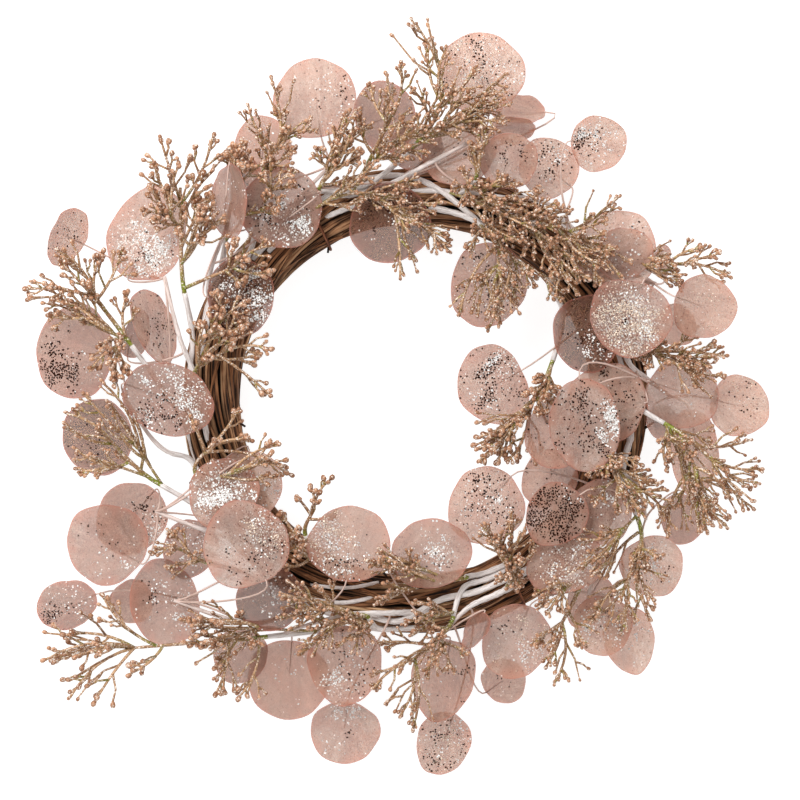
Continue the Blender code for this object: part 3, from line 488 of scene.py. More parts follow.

# How each of those leaves is finished: its shade, from dark 0 to pale 1, which is partly its
# own tone and partly painted light and shade, darker for some leaves that lie in shadow and
# paler for others, to lift the shade that falls on them among the other leaves; and its patches
# of glitter: kind, middle right and up from the leaf's own in half lengths, spread, number of
# flakes
FINISHES = (
    ((0.7, (("black", 0.2, 0.3, 0.5, 14), ("black", -0.1, -0.5, 0.4, 10))),
     (0.7, (("silver", 0.15, -0.45, 0.24, 190), ("silver", -0.35, -0.1, 0.26, 70),
            ("black", 0.45, 0.55, 0.16, 14), ("black", 0.1, -0.5, 0.35, 30))),
     (0.8, (("black", 0.3, 0.3, 0.5, 46), ("black", 0.0, -0.2, 0.5, 22))),
     (0.2, ())),
    ((0.28, (("black", -0.55, -0.25, 0.32, 110), ("black", -0.4, -0.6, 0.25, 60),
             ("silver", 0.3, -0.4, 0.3, 12))),
     (0.4, (("silver", 0.45, -0.05, 0.35, 110), ("black", 0.0, -0.35, 0.22, 46),
             ("black", -0.4, -0.35, 0.14, 24), ("silver", -0.1, 0.5, 0.4, 40),
             ("silver", -0.45, -0.4, 0.14, 16))),
     (0.0, (("black", -0.3, -0.5, 0.4, 20),))),
    ((0.45, (("black", 0.3, 0.1, 0.3, 40), ("silver", 0.6, -0.3, 0.25, 40))),
     (0.5, (("silver", 0.2, -0.3, 0.5, 26), ("black", -0.3, 0.2, 0.3, 10))),
     (0.75, (("silver", 0.1, 0.2, 0.42, 190), ("silver", -0.4, -0.1, 0.35, 90))),
     (0.85, (("silver", 0.4, 0.0, 0.4, 30),)),
     (0.2, (("silver", 0.1, 0.1, 0.5, 50),))),
    ((0.25, (("black", -0.5, -0.35, 0.28, 50), ("silver", 0.0, 0.2, 0.5, 30))),
     (0.4, ()),
     (0.35, (("silver", 0.3, 0.0, 0.5, 60), ("black", -0.3, 0.3, 0.4, 16))),
     (0.9, (("champagne", 0.5, 0.35, 0.35, 60), ("silver", 0.35, 0.4, 0.35, 30),
            ("black", 0.35, -0.35, 0.4, 34), ("black", -0.4, -0.3, 0.35, 12))),
     (0.05, (("silver", 0.3, 0.0, 0.5, 40),))),
    ((0.45, (("silver", 0.0, 0.2, 0.6, 14),)),
     (0.3, (("silver", -0.2, 0.0, 0.5, 20),)),
     (0.5, (("black", -0.2, 0.35, 0.25, 16), ("black", 0.3, -0.35, 0.4, 22),
            ("silver", -0.1, -0.6, 0.35, 44), ("silver", 0.4, 0.1, 0.4, 20))),
     (0.52, (("silver", 0.15, 0.55, 0.25, 40), ("silver", -0.3, -0.35, 0.2, 9),
             ("black", 0.1, -0.05, 0.12, 5))),
     (0.7, (("champagne", -0.6, 0.3, 0.35, 90), ("black", -0.1, -0.6, 0.3, 24),
            ("silver", -0.3, -0.5, 0.4, 60)))),
    ((0.58, (("silver", 0.2, 0.0, 0.16, 40), ("silver", 0.1, 0.1, 0.4, 30),
            ("black", 0.4, -0.2, 0.3, 12))),
     (0.4, (("black", 0.4, 0.1, 0.35, 16), ("silver", -0.3, 0.3, 0.4, 14))),
     (0.55, (("black", -0.4, 0.2, 0.4, 34), ("black", 0.1, -0.5, 0.4, 26),
             ("champagne", 0.1, 0.0, 0.6, 60), ("silver", 0.3, 0.2, 0.4, 24))),
     (0.5, (("black", 0.1, 0.3, 0.3, 8),)),
     (0.35, ())),
    ((0.65, (("silver", 0.5, -0.3, 0.2, 26), ("champagne", 0.1, 0.0, 0.5, 40),
             ("black", -0.4, 0.2, 0.3, 8))),
     (0.7, (("silver", 0.1, 0.1, 0.45, 90), ("champagne", 0.0, -0.3, 0.4, 50))),
     (0.8, (("silver", 0.0, 0.0, 0.4, 70), ("black", 0.1, 0.2, 0.4, 16))),
     (0.85, (("silver", 0.1, 0.2, 0.3, 26),)),
     (0.4, (("silver", 0.0, 0.0, 0.4, 20),))),
    ((0.65, (("black", -0.1, 0.0, 0.36, 320), ("silver", 0.6, 0.5, 0.2, 8))),
     (0.7, (("black", -0.1, 0.4, 0.35, 60), ("black", 0.2, -0.3, 0.45, 50),
            ("silver", -0.1, 0.0, 0.5, 60))),
     (0.7, (("black", -0.3, 0.2, 0.4, 20),)),
     (0.7, (("silver", 0.3, 0.2, 0.4, 30),)),
     (0.25, ()),
     (0.85, (("silver", -0.1, 0.1, 0.35, 60), ("black", -0.1, -0.1, 0.3, 26)))),
    ((1.0, (("black", 0.0, 0.3, 0.42, 110), ("black", 0.3, -0.2, 0.25, 50),
             ("silver", 0.62, -0.1, 0.12, 90), ("silver", 0.6, 0.3, 0.14, 50))),
     (0.7, (("black", -0.3, 0.0, 0.4, 20),)),
     (1.0, (("black", -0.1, 0.6, 0.3, 20), ("black", 0.5, -0.2, 0.3, 26),
             ("black", 0.3, 0.3, 0.3, 20))),
     (0.7, (("silver", 0.1, 0.2, 0.5, 16),)),
     (0.85, (("black", -0.2, 0.2, 0.45, 12), ("champagne", 0.4, 0.5, 0.3, 10))),
     (0.9, (("champagne", 0.0, 0.0, 0.5, 10),)),
     (0.4, ())),
    ((0.5, (("black", -0.1, 0.2, 0.5, 150), ("silver", 0.2, 0.5, 0.3, 50),
            ("silver", -0.2, -0.3, 0.3, 20))),
     (0.5, ()),
     (0.7, (("champagne", -0.2, 0.0, 0.5, 260), ("champagne", 0.1, -0.3, 0.35, 180),
            ("silver", 0.1, -0.4, 0.3, 60), ("silver", 0.2, 0.4, 0.3, 30),
            ("black", -0.1, 0.05, 0.12, 6))),
     (0.7, (("champagne", 0.2, 0.1, 0.5, 18),)),
     (0.5, ()),
     (0.0, (("silver", 0.3, -0.3, 0.3, 60), ("black", 0.0, 0.2, 0.5, 50)))),
    ((0.5, (("black", 0.1, 0.2, 0.5, 60), ("silver", 0.1, 0.0, 0.5, 50))),
     (0.85, (("black", -0.5, 0.0, 0.25, 50), ("silver", -0.3, 0.4, 0.4, 50),
             ("silver", 0.3, -0.2, 0.4, 24))),
     (0.9, (("black", 0.2, 0.1, 0.35, 50), ("silver", 0.0, 0.3, 0.4, 40))),
     (0.95, (("silver", -0.1, 0.3, 0.5, 50), ("black", 0.3, 0.2, 0.4, 22))),
     (0.95, (("silver", 0.0, 0.0, 0.5, 26),))),
    ((0.95, (("black", -0.3, 0.6, 0.18, 16), ("black", 0.0, 0.1, 0.6, 60),
             ("silver", 0.3, 0.1, 0.6, 60), ("champagne", -0.1, 0.4, 0.5, 60))),
     (0.7, ()),
     (0.7, ()),
     (0.8, (("black", 0.1, 0.3, 0.22, 26), ("champagne", 0.0, 0.0, 0.5, 10))),
     (0.85, (("black", 0.0, 0.2, 0.5, 14),)),
     (0.5, ())),
    ((0.0, (("black", 0.0, 0.5, 0.4, 60), ("silver", 0.0, 0.3, 0.5, 22))),
     (0.78, (("black", 0.4, 0.4, 0.4, 16), ("silver", 0.5, 0.1, 0.4, 26))),
     (0.3, ()),
     (0.55, (("silver", 0.0, 0.2, 0.4, 12),))),
    ((0.55, (("black", -0.3, -0.2, 0.3, 36), ("silver", 0.1, -0.3, 0.4, 90),
            ("silver", 0.45, -0.5, 0.14, 50), ("black", 0.1, 0.3, 0.5, 24))),
     (0.55, (("silver", 0.0, 0.0, 0.5, 20),)),
     (0.4, (("silver", 0.0, 0.0, 0.5, 16),)),
     (0.0, (("silver", 0.2, 0.2, 0.5, 150), ("silver", 0.5, -0.3, 0.3, 80),
            ("black", 0.0, 0.0, 0.6, 60)))),
)

EGG = 0.05                       # how much wider a leaf is by its stalk, as a share
CUP = 3.5                        # how far the middle of a leaf lies below its edge
EDGE_RISE = 0.25 * CUP           # of the edge over the leaf's own plane
WAVE = 1.6                       # of the edge, twice round, up and down
RIPPLES = ((7, 1, 3, 0.35), (12, 2, 4, 0.175))  # turns, shift, power of the share, height
LOBES = ((3, 1, 0.018), (5, 2, 0.014), (9, 3, 0.008))  # turns, shift, share of the radius
BLADE_HALF = 0.35                # half the thickness of a leaf in the CAD
BLADE_CORNERS = 10               # of the edge of a leaf in the CAD,
SMALL_CORNERS = 8                # and of one that is no longer than the next
SMALL_BLADE = 45
STALK_RADIUS = 1.0               # of a stalk in the CAD, and of the notch in that edge for it
LAYER_HEIGHTS = (20, 34, 48, 62, 78, 92)    # lowest middle of a leaf, back layer first
LIFT_STEP = 2.0                  # in which the CAD lifts a leaf off those under it
SAME_PLACE = 0.03                # millimetres within which two corners are the same


def node_corners(name):
    """Return a CAD node's corners in millimetres from the ring's middle."""
    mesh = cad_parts[name].data
    corners = np.zeros(3 * len(mesh.vertices), np.float32)
    mesh.vertices.foreach_get("co", corners)
    corners = np.unique(corners.reshape(-1, 3).astype(float).round(7), axis=0)
    return corners / MM - RING_CENTRE


def leaf_axes(leaf):
    """Return a leaf's directions: along to its tip, across to the left, and off its face."""
    _, _, _, _, stalk, pitch, roll, _ = leaf
    along = heading(stalk + 180)
    across = np.cross(UP, along)
    lift = math.radians(pitch)
    lean = math.radians(roll)
    along = along * math.cos(lift) + UP * math.sin(lift)
    face = np.cross(along, across)
    return along, (across * math.cos(lean) + face * math.sin(lean)), (
        face * math.cos(lean) - across * math.sin(lean))


def leaf_surface(leaf, height, share, angle, uneven=1.0):
    """Return points of a leaf's fabric at a share of the way out and an angle from its tip.

    The edge is an egg: half the length times the cosine of the angle and a little of twice the
    angle, and half the width times its sine. The height off the leaf's plane falls with the
    square of the share to a cup, and the edge waves twice round. Where the fabric is uneven,
    cosines of higher turns add lobes to the edge and ripples to its height, and each leaf's
    place shifts them, so that no two leaves are the same.
    """
    x, y, length, width = leaf[:4]
    along, across, face = leaf_axes(leaf)
    shift = x + 2.0 * y
    lobes = 1 + uneven * sum(size * np.cos(turns * angle + times * shift)
                             for turns, times, size in LOBES)
    out = (share * lobes)[..., None]
    level = (out * (length / 2 * (np.cos(angle) + EGG * np.cos(2 * angle)))[..., None] * along
             + out * (width / 2 * np.sin(angle))[..., None] * across)
    rise = ((EDGE_RISE + WAVE * np.cos(2 * angle + x)) * share ** 2
            - (CUP - EDGE_RISE) * (1 - share ** 2)
            + uneven * sum(size * share ** power * np.cos(turns * angle + times * shift)
                           for turns, times, power, size in RIPPLES))
    return np.array([x, y, height]) + level + rise[..., None] * face


def leaf_height(leaf, corners):
    """Read a leaf's height from its CAD node, by the corners of the blade's upper face.

    The edge's corners stand over known places, a whole number of steps over the leaf's layer,
    so the height is what most of them say.
    """
    count = BLADE_CORNERS if leaf[2] > SMALL_BLADE else SMALL_CORNERS
    notch = math.asin(2 * STALK_RADIUS / leaf[3])
    angles = math.pi + np.linspace(notch, 2 * math.pi - notch, count)
    _, _, face = leaf_axes(leaf)
    rim = leaf_surface(leaf, 0.0, np.ones(count), angles, uneven=0.0) + BLADE_HALF * face
    near = np.linalg.norm(corners[None, :, :2] - rim[:, None, :2], axis=2) < SAME_PLACE
    heights = (corners[None, :, 2] - rim[:, None, 2])[near]
    steps = (heights - LAYER_HEIGHTS[leaf[7] - 1]) / LIFT_STEP
    whole = heights[(np.abs(steps - steps.round()) < SAME_PLACE) & (steps > -0.1)].round()
    values, votes = np.unique(whole, return_counts=True)
    return values[votes.argmax()]


def smooth(points, count):
    """Read count points from a Catmull-Rom curve through the given points.

    Each span is a cubic of the four points round it, and its slope at a point is half the way
    from the point before to the point after.
    """
    points = np.array(points, float)
    ends = np.vstack([2 * points[0] - points[1], points, 2 * points[-1] - points[-2]])
    place = np.linspace(0, len(points) - 1, count)
    span = np.minimum(place.astype(int), len(points) - 2)
    t = (place - span)[:, None]
    a, b, c, d = (ends[span + step] for step in range(4))
    return 0.5 * (2 * b + (c - a) * t + (2 * a - 5 * b + 4 * c - d) * t ** 2
                  + (3 * b - a - 3 * c + d) * t ** 3)


def bezier(a, b, c, d, count):
    """Read count points from a cubic Bezier curve."""
    t = np.linspace(0, 1, count)[:, None]
    return (1 - t) ** 3 * a + 3 * (1 - t) ** 2 * t * b + 3 * (1 - t) * t ** 2 * c + t ** 3 * d


FACET = 15.0                     # degrees of the clock for one straight length of the CAD's ring
FIRST_CLOCK = 6.1
ROOT_RUN = 5.0                   # degrees of the clock that a stem lies on the bundle,
ROOT_LEAVE = 11.0                # after which it has left it
ROOT_RISE = 5.0                  # by this much
LANE_LEAN = 1.2                  # degrees round the bundle for a millimetre off the ring
LANE_LIMIT = 60
LANES = (0, 14, -14, 28, -28, 42, -42, 56, -56)    # what the CAD may add to the lane,
STEM_TURNS = (0, 4, -4, 8, 12, 16)                 # to the root's clock,
STEM_LIFTS = (0, 8, 16, -8, 24, -16, 32)           # to the height of the middle and tip,
SEATS = np.arange(1.25, -4.5, -0.25)               # and to how far the root lies off the bundle
SEAT_GAP = 0.3
STEM_RADIUS = 2.5                # in the CAD
STEM_TAPER = 0.7
CAD_POINTS = 8                   # of a stem's curve in the CAD
LEAST_VOTES = 3                  # corners on a ring that make a root likely


def seat_point(clock, lane, reach):
    """Return a point over the bundle, whose lengths are straight and so nearer in the middle."""
    off_middle = (clock - FIRST_CLOCK) % FACET - FACET / 2
    nearer = np.cos(np.radians(FACET / 2)) / np.cos(np.radians(off_middle))
    lanes = np.radians(lane)
    out = np.expand_dims((RING_RADIUS + reach * np.cos(lanes)) * nearer, -1)
    return heading(clock) * out + np.expand_dims(RING_HEIGHT + reach * np.sin(lanes), -1) * UP


def eased(points, passes):
    """Return a path's points with its bends eased: each one halfway to its neighbours' middle."""
    points = np.array(points, float)
    for _ in range(passes):
        points[1:-1] = points[1:-1] / 2 + (points[:-2] + points[2:]) / 4
    return points


def corners_round(corners, middles, radii):
    """Count the CAD node's corners that lie on a ring: at a radius from each middle."""
    away = np.linalg.norm(corners[None] - middles[:, None], axis=2)
    return (np.abs(away - np.reshape(radii, (-1, 1))) < SAME_PLACE).sum(axis=1)


def find_stem(node, root_clock, middle, tip, radius):
    """Return the points that a stem's curve goes through, as its CAD node has them, and the
    clock angle and lane of its root.

    The CAD tries roots and lifts in turn. The root that it kept has a ring of corners round it,
    and so has each point of the curve with the right lift.
    """
    corners = node_corners(node)
    middle = np.array(middle, float)
    tip = np.array(tip, float)
    outward = LANE_LEAN * (math.hypot(*middle[:2]) - RING_RADIUS)
    best_lane = 90 - max(-LANE_LIMIT, min(LANE_LIMIT, outward))
    tries = np.array(list(itertools.product(STEM_TURNS, LANES, SEATS)))
    clocks = root_clock + tries[:, 0]
    lanes = best_lane + tries[:, 1]
    reaches = BUNDLE_RADIUS + radius + SEAT_GAP + tries[:, 2]
    roots = seat_point(clocks, lanes, reaches)
    likely = np.flatnonzero(corners_round(corners, roots, radius) >= LEAST_VOTES)
    taper = np.linspace(radius, radius * STEM_TAPER, CAD_POINTS)
    best = (0, None, None)
    for one, lift in itertools.product(likely, STEM_LIFTS):
        clock, lane, reach = clocks[one], lanes[one], reaches[one]
        points = [seat_point(clock, lane, reach), seat_point(clock - ROOT_RUN, lane, reach),
                  seat_point(clock - ROOT_LEAVE, lane, reach + ROOT_RISE),
                  middle + UP * lift, tip + UP * lift]
        votes = corners_round(corners, smooth(points, CAD_POINTS), taper).sum()
        if votes > best[0]:
            best = (votes, points, (clock, lane))
    return best[1], best[2]


STALK_BOWS = (0, 10, -10, 20, -20, 32, -32)        # up or down, as the CAD tries them
STALK_SEATS = (1.0, 0.85, 0.7, 0.55, 0.4)          # shares of the stem where a stalk joins it
STALK_REACHES = (0.4, 0.7)       # of the bends, as shares of the way to the stem
STALK_SWEEP = 0.6                # of the bend at the stem against the one at the leaf


def find_stalk(node, leaf, height, stem):
    """Return the four points of a stalk's Bezier curve, as the leaf's CAD node has them.

    The CAD tries bows, seats and reaches in turn, and the curve with the most corners of the
    node round its two inner points is the one that it kept.
    """
    corners = node_corners(node)
    notch = math.asin(2 * STALK_RADIUS / leaf[3])
    sides = math.pi + np.array([notch, -notch])
    foot = leaf_surface(leaf, height, np.ones(2), sides, uneven=0.0).mean(axis=0)
    outward = -leaf_axes(leaf)[0]
    best = (-1, None)
    for bow, share, reach in itertools.product(STALK_BOWS, STALK_SEATS, STALK_REACHES):
        seat = int(round(share * (CAD_POINTS - 1)))
        span = np.linalg.norm(stem[seat] - foot) * reach
        leave = foot + outward * span + UP * bow
        arrive = stem[seat] - unit(stem[seat] - stem[seat - 1]) * span * STALK_SWEEP + UP * bow
        path = bezier(foot, leave, arrive, stem[seat], 4)
        votes = corners_round(corners, path[1:3], STALK_RADIUS).sum()
        if votes > best[0]:
            best = (votes, (foot, leave, arrive, stem[seat]))
    return best[1]


def wrapped_paper(name):
    """Crepe paper wound over wire: chalky white with grey streaks and specks about a
    millimetre wide, and stalks dyed pink."""
    finish, add = new_finish(name)
    grain = add("Attribute", attribute_name="grain", output="Vector")
    pink = add("Attribute", attribute_name="pink", output="Fac")
    stretched = add("Mapping", grain, Scale=(1.0, 1.0, 0.12))
    streaks = add("TexNoise", Vector=stretched, Scale=0.9, Detail=3.0, Roughness=0.6)
    specks = add("TexNoise", Vector=grain, Scale=1.1, Detail=1.0)
    grey = add("MapRange", streaks, 0.45, 0.72)
    dots = add("MapRange", specks, 0.7, 0.76, 0.0, 0.5)
    body = add("Mix", grey, "F6F0ED", "BCAFA8", data_type="RGBA")
    body = add("Mix", dots, body, "6B5A55", data_type="RGBA")
    stalk = add("Mix", grey, "DCC0B4", "B89A8C", data_type="RGBA")
    body = add("Mix", pink, body, stalk, data_type="RGBA")
    bump = add("Bump", Height=streaks, Strength=0.6, Distance=0.5 * MM)
    return dress(finish, Base_Color=body, Normal=bump, Roughness=0.75, Specular_IOR_Level=0.3)


FABRIC_THICKNESS = 0.4           # drawn thicker than the real fabric, and thinner than the CAD's
FABRIC_ALPHA = 0.66              # of one face: with both, a leaf hides nearly nine tenths
WARM_SPREAD = 0.35               # how far the dye of some leaves runs to orange
FIBRE_FAN = 14.0                 # millimetres of the fibres' pattern for a radian round the stalk,
FIBRE_RUN = 0.05                 # and for a millimetre away from it
GLITTER_FULL = 900.0             # flakes to the square of a patch's spread that make it full
BLADE_RINGS = (0.14, 0.28, 0.42, 0.55, 0.67, 0.78, 0.87, 0.94, 0.985, 1.0)
BLADE_SPOKES = 52
SPARKLE_SHARE = 0.4              # of the fabric that fine glitter covers, in the patches
LEAST_SPARKLE = 0.014            # and elsewhere


def sheer_fabric(name):
    """Sheer blush fabric: thin enough to see through, with fibres that spread from the stalk and
    loose ones across them, soft creases that fan out with the fibres and show only as painted
    light and shade, the mottle of crossing threads, a salmon blush towards the sealed edge, which
    is deeper pink, and fine glitter in patches. Each of its colours is mixed by the leaf's shade,
    from dark to pale, which is partly its own tone and partly painted light and shade.

    Real threads and fine glitter, 0.2 mm or so, would be too fine to show, so threads are drawn
    about 1.7 mm apart and glitter 0.9 mm wide. Fibres are 1 mm apart and loose ones 3 mm.
    """
    finish, add = new_finish(name)
    weave, fibre = (add("Attribute", attribute_name=key, output="Vector")
                    for key in ("weave", "fibre"))
    shade, warm, edge, sparkle = (add("Attribute", attribute_name=key, output="Fac")
                                  for key in ("shade", "warm", "edge", "sparkle"))
    rays = add("TexNoise", Vector=fibre, Scale=1.0, Detail=4.0, Roughness=0.7, Distortion=0.5)
    felt = add("TexNoise", Vector=weave, Scale=0.3, Detail=4.0, Roughness=0.7, Distortion=3.0)
    cloud = add("TexNoise", Vector=weave, Scale=0.05, Detail=3.0)
    folds = add("TexNoise", Vector=fibre, Scale=0.3, Detail=2.0, Distortion=0.4)
    threads = add("TexNoise", Vector=weave, Scale=0.6, Detail=2.0, Roughness=0.6, Distortion=1.5)

    # Layers over the deepest colour: how much of each, and its colour on a dark and a pale leaf
    body = add("Mix", shade, "4B3226", "B49184", data_type="RGBA")
    for amount, dark, pale in (
            (add("MapRange", rays, 0.34, 0.66), "65473A", "D9B6A8"),
            (add("MapRange", felt, 0.46, 0.62, 0.0, 0.6), "886657", "EBD3C8"),
            (add("MapRange", cloud, 0.4, 0.62, 0.0, 0.5), "643E34", "C78F7C"),
            (warm, "6E4437", "DBA389")):
        colour = add("Mix", shade, dark, pale, data_type="RGBA")
        body = add("Mix", amount, body, colour, data_type="RGBA")
    # Painted light and shade of soft creases: broad rays from the stalk made brighter and darker.
    # The mottle below is the threads' own.
    painted_crease_light = add("MapRange", folds, 0.34, 0.62, 0.84, 1.08)
    mottled = add("MapRange", threads, 0.38, 0.62, 0.82, 1.13)
    light = add("Math", painted_crease_light, mottled, operation="MULTIPLY")
    body = add("VectorMath", body, light, operation="SCALE")

    near_edge = add("MapRange", edge, 0.7, 0.99, 0.0, 0.7)
    drift = add("MapRange", cloud, 0.4, 0.6)
    blush = add("Math", near_edge, drift, operation="MULTIPLY")
    salmon = add("Mix", shade, "8A5243", "DC9985", data_type="RGBA")
    body = add("Mix", blush, body, salmon, data_type="RGBA")
    rim = add("MapRange", edge, 0.95, 0.985, 0.0, 0.5)
    body = add("Mix", rim, body, "BC7061", data_type="RGBA")

    # Fine glitter: each grain of a fine mosaic has random numbers that choose it and its colour
    grit = add("TexVoronoi", Vector=weave, Scale=1.1, output="Color")
    chance, tint, _ = add("SeparateColor", grit).node.outputs
    share = add("MapRange", sparkle, 0.0, 1.0, LEAST_SPARKLE, SPARKLE_SHARE)
    chosen = add("Math", chance, share, operation="LESS_THAN")
    bright_share = add("MapRange", sparkle, 0.0, 0.5, 0.12, 0.5)
    is_dark = add("Math", tint, bright_share, operation="GREATER_THAN")
    flake = add("Mix", is_dark, "FCEDE2", "80594A", data_type="RGBA")
    body = add("Mix", chosen, body, flake, data_type="RGBA")
    bump = add("Bump", Height=felt, Strength=0.6, Distance=0.5 * MM)
    return dress(finish, Base_Color=body, Normal=bump, Roughness=0.7, Specular_IOR_Level=0.15,
                 Alpha=FABRIC_ALPHA, Subsurface_Weight=0.7, Subsurface_Scale=4.0 * MM,
                 Subsurface_Radius=(1.0, 0.7, 0.6))


ROOT_BACK = 4.0                  # degrees of the clock from a root to where it is sunk,
ROOT_SUNK = 3.0                  # in between the canes by this much
WRAPPED_RADIUS = 2.9             # of a stem with its paper, at its root
WRAPPED_TAPER = 0.48
STEM_RINGS = 34
STEM_SIDES = 9
STEM_EASE = 30                   # passes that ease the bends of a stem
PAPER_LUMPS = 0.07               # of the wound paper, as a share of the radius,
PAPER_FOLDS = 0.05               # and its finer folds
STALK_HASTE = 0.55               # of a stalk's bends against the CAD's, so that none folds back
STALK_RADII = (0.6, 1.0)         # at the leaf and at the stem
STALK_RINGS = 13
STALK_SIDES = 6
RIB_INNER = 0.05                 # shares of the way out on a leaf between which its stalk runs on
RIB_OUTER = 0.93                 # as a rib under it,
RIB_RADII = (0.25, 0.5)          # and the rib's radii there
RIB_RINGS = 6
RIB_SINK = 0.3                   # of its middle, below the fabric

paper = wrapped_paper("crepe_paper_on_wire")
fabric = sheer_fabric("sheer_blush_fabric")
glittered = []                   # each leaf with its height and patches, for the glitter's section
for pick, (root_clock, middle, tip, leaves) in enumerate(PICKS):
    node = f"leaf_pick_{pick + 1:02d}"
    corners = node_corners(node)
    points, (clock, lane) = find_stem(node, root_clock, middle, tip, STEM_RADIUS)
    cad_stem = smooth(points, CAD_POINTS)
    heights = [leaf_height(leaf, corners) for leaf in leaves]

    # The stem comes out from between the canes, and tapers. Its bends are eased
    sunk = seat_point(clock + ROOT_BACK, lane, BUNDLE_RADIUS - ROOT_SUNK)
    stem = np.vstack([sunk, eased(smooth(points, STEM_RINGS), STEM_EASE)])
    share = np.linspace(0, 1, STEM_RINGS + 1)
    lumps = PAPER_LUMPS * np.sin(41 * share + pick) + PAPER_FOLDS * np.sin(97 * share + 2 * pick)
    stem_radii = WRAPPED_RADIUS * (1 - WRAPPED_TAPER * share) * (1 + lumps)
    blush = 0.7 * np.clip(2.5 * share - 1.5, 0, 1)     # pink from 0.6 of the way to the tip
    stalks = []
    stalk_radii = []
    for leaf, height in zip(leaves, heights):
        foot, leave, arrive, seat = find_stalk(node, leaf, height, cad_stem)
        nearest = stem[np.linalg.norm(stem - seat, axis=1).argmin()]
        curve = (foot, foot + (leave - foot) * STALK_HASTE,
                 nearest + (arrive - seat) * STALK_HASTE, nearest)
        rib_share = np.linspace(RIB_INNER, RIB_OUTER, RIB_RINGS)
        rib = leaf_surface(leaf, height, rib_share, np.full(RIB_RINGS, math.pi))
        rib = rib - (FABRIC_THICKNESS / 2 + RIB_SINK) * leaf_axes(leaf)[2]
        stalks.append(np.vstack([rib, bezier(*curve, STALK_RINGS)]))
        stalk_radii.append(np.concatenate([
            np.linspace(*RIB_RADII, RIB_RINGS), np.linspace(*STALK_RADII, STALK_RINGS)]))
    batches = [(stem[None], stem_radii[None], STEM_SIDES, {"pink": blush[None, :, None]}),
               (np.array(stalks), np.array(stalk_radii), STALK_SIDES, {"pink": 1.0})]
    stems = tube_piece(f"pick_stem_{pick + 1:02d}", batches, paper)
    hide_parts(node)

    # The leaves: an upper and a lower face of the same form, joined at the edge
    shares = np.array(BLADE_RINGS)
    angles = np.arange(BLADE_SPOKES) * 2 * math.pi / BLADE_SPOKES
    share_grid, angle_grid = np.meshgrid(shares, angles, indexing="ij")
    grids = []
    tops = []
    bottoms = []
    values = {"weave": [], "fibre": [], "shade": [], "warm": [], "edge": [], "sparkle": []}
    pole_values = {key: [] for key in values}
    for leaf, height, (shade, patches) in zip(leaves, heights, FINISHES[pick]):
        along, across, face = leaf_axes(leaf)
        half = FABRIC_THICKNESS / 2 * face
        middle_point = leaf_surface(leaf, height, np.zeros(1), np.zeros(1))[0]
        surface = leaf_surface(leaf, height, share_grid, angle_grid)
        grids.append(np.concatenate([surface + half, surface[::-1] - half]))
        tops.append(middle_point + half)
        bottoms.append(middle_point - half)
        off = np.concatenate([surface, surface[::-1]]) - middle_point
        forward = off @ along
        sideways = off @ across
        flat = np.zeros(forward.shape)
        shift = 100.0 * len(grids) + 1000.0 * pick     # no two leaves show the same weave
        from_stalk = forward + leaf[2] / 2
        distance = np.hypot(from_stalk, sideways)
        bearing = np.arctan2(sideways, from_stalk + 0.5)
        level = off[..., :2] / (leaf[2] / 2)
        sparkle = np.zeros(forward.shape)
        for kind, right, up, spread, count in patches:
            if kind != "black":
                near = np.exp(-((level - (right, up)) ** 2).sum(axis=-1) / (2 * spread ** 2))
                sparkle += near * min(1.0, count / (GLITTER_FULL * spread ** 2))
        warmth = WARM_SPREAD * math.sin(leaf[0] + 3 * leaf[1]) ** 2
        values["weave"].append(np.stack([forward + shift, sideways, flat], axis=-1))
        values["fibre"].append(np.stack(
            [bearing * FIBRE_FAN + shift, distance * FIBRE_RUN, flat], axis=-1))
        # The shade holds the leaf's own tone together with painted light and shade for where it
        # lies among the others.
        values["shade"].append(np.full(forward.shape, shade))
        values["warm"].append(np.full(forward.shape, warmth))
        values["edge"].append(np.concatenate([share_grid, share_grid[::-1]]))
        values["sparkle"].append(np.clip(sparkle, 0, 1))
        for key in values:
            inner = values[key][-1][0]
            pole_values[key].append(inner.mean(axis=0))
        glittered.append((leaf, height, patches))
    grid = np.array(grids)
    blades, rings, spokes = grid.shape[:3]
    corners = np.concatenate([grid.reshape(-1, 3), tops, bottoms])
    extra = {}
    for key, parts in values.items():
        whole = np.array(parts)
        rows = whole.reshape(-1, 3) if whole.ndim == 4 else whole.reshape(-1)
        extra[key] = np.concatenate([rows, pole_values[key], pole_values[key]])
    leaf_piece = mesh_piece(f"leaves_{pick + 1:02d}", corners,
                            grid_faces(blades, rings, spokes), fabric, extra)
    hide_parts(node)


# Ends of stems on the ring
# Some picks' wrapped stems show again further on, where they lie over the canes before they go
# in between them. Rows: radius, and the points x, y that it passes over.

STEM_ENDS = (
    (2.6, ((97, -134), (53, -154), (20, -162), (-12, -179), (-40, -174))),
    (1.7, ((-95, -160), (-60, -164), (-34, -160))),
    (1.5, ((-85, -150), (-55, -152), (-30, -148))),
    (2.4, ((-53, 177), (-12, 182), (20, 170), (61, 136))),
    (2.2, ((-32, 164), (-73, 148))),
)
END_DIP = 14.0                   # length over which an end goes in between the canes,
END_DEPTH = 2.0                  # until its top lies this far below their outside
END_RINGS = 20
PRESSED = 0.4                    # depth of a stem in the gap between two canes

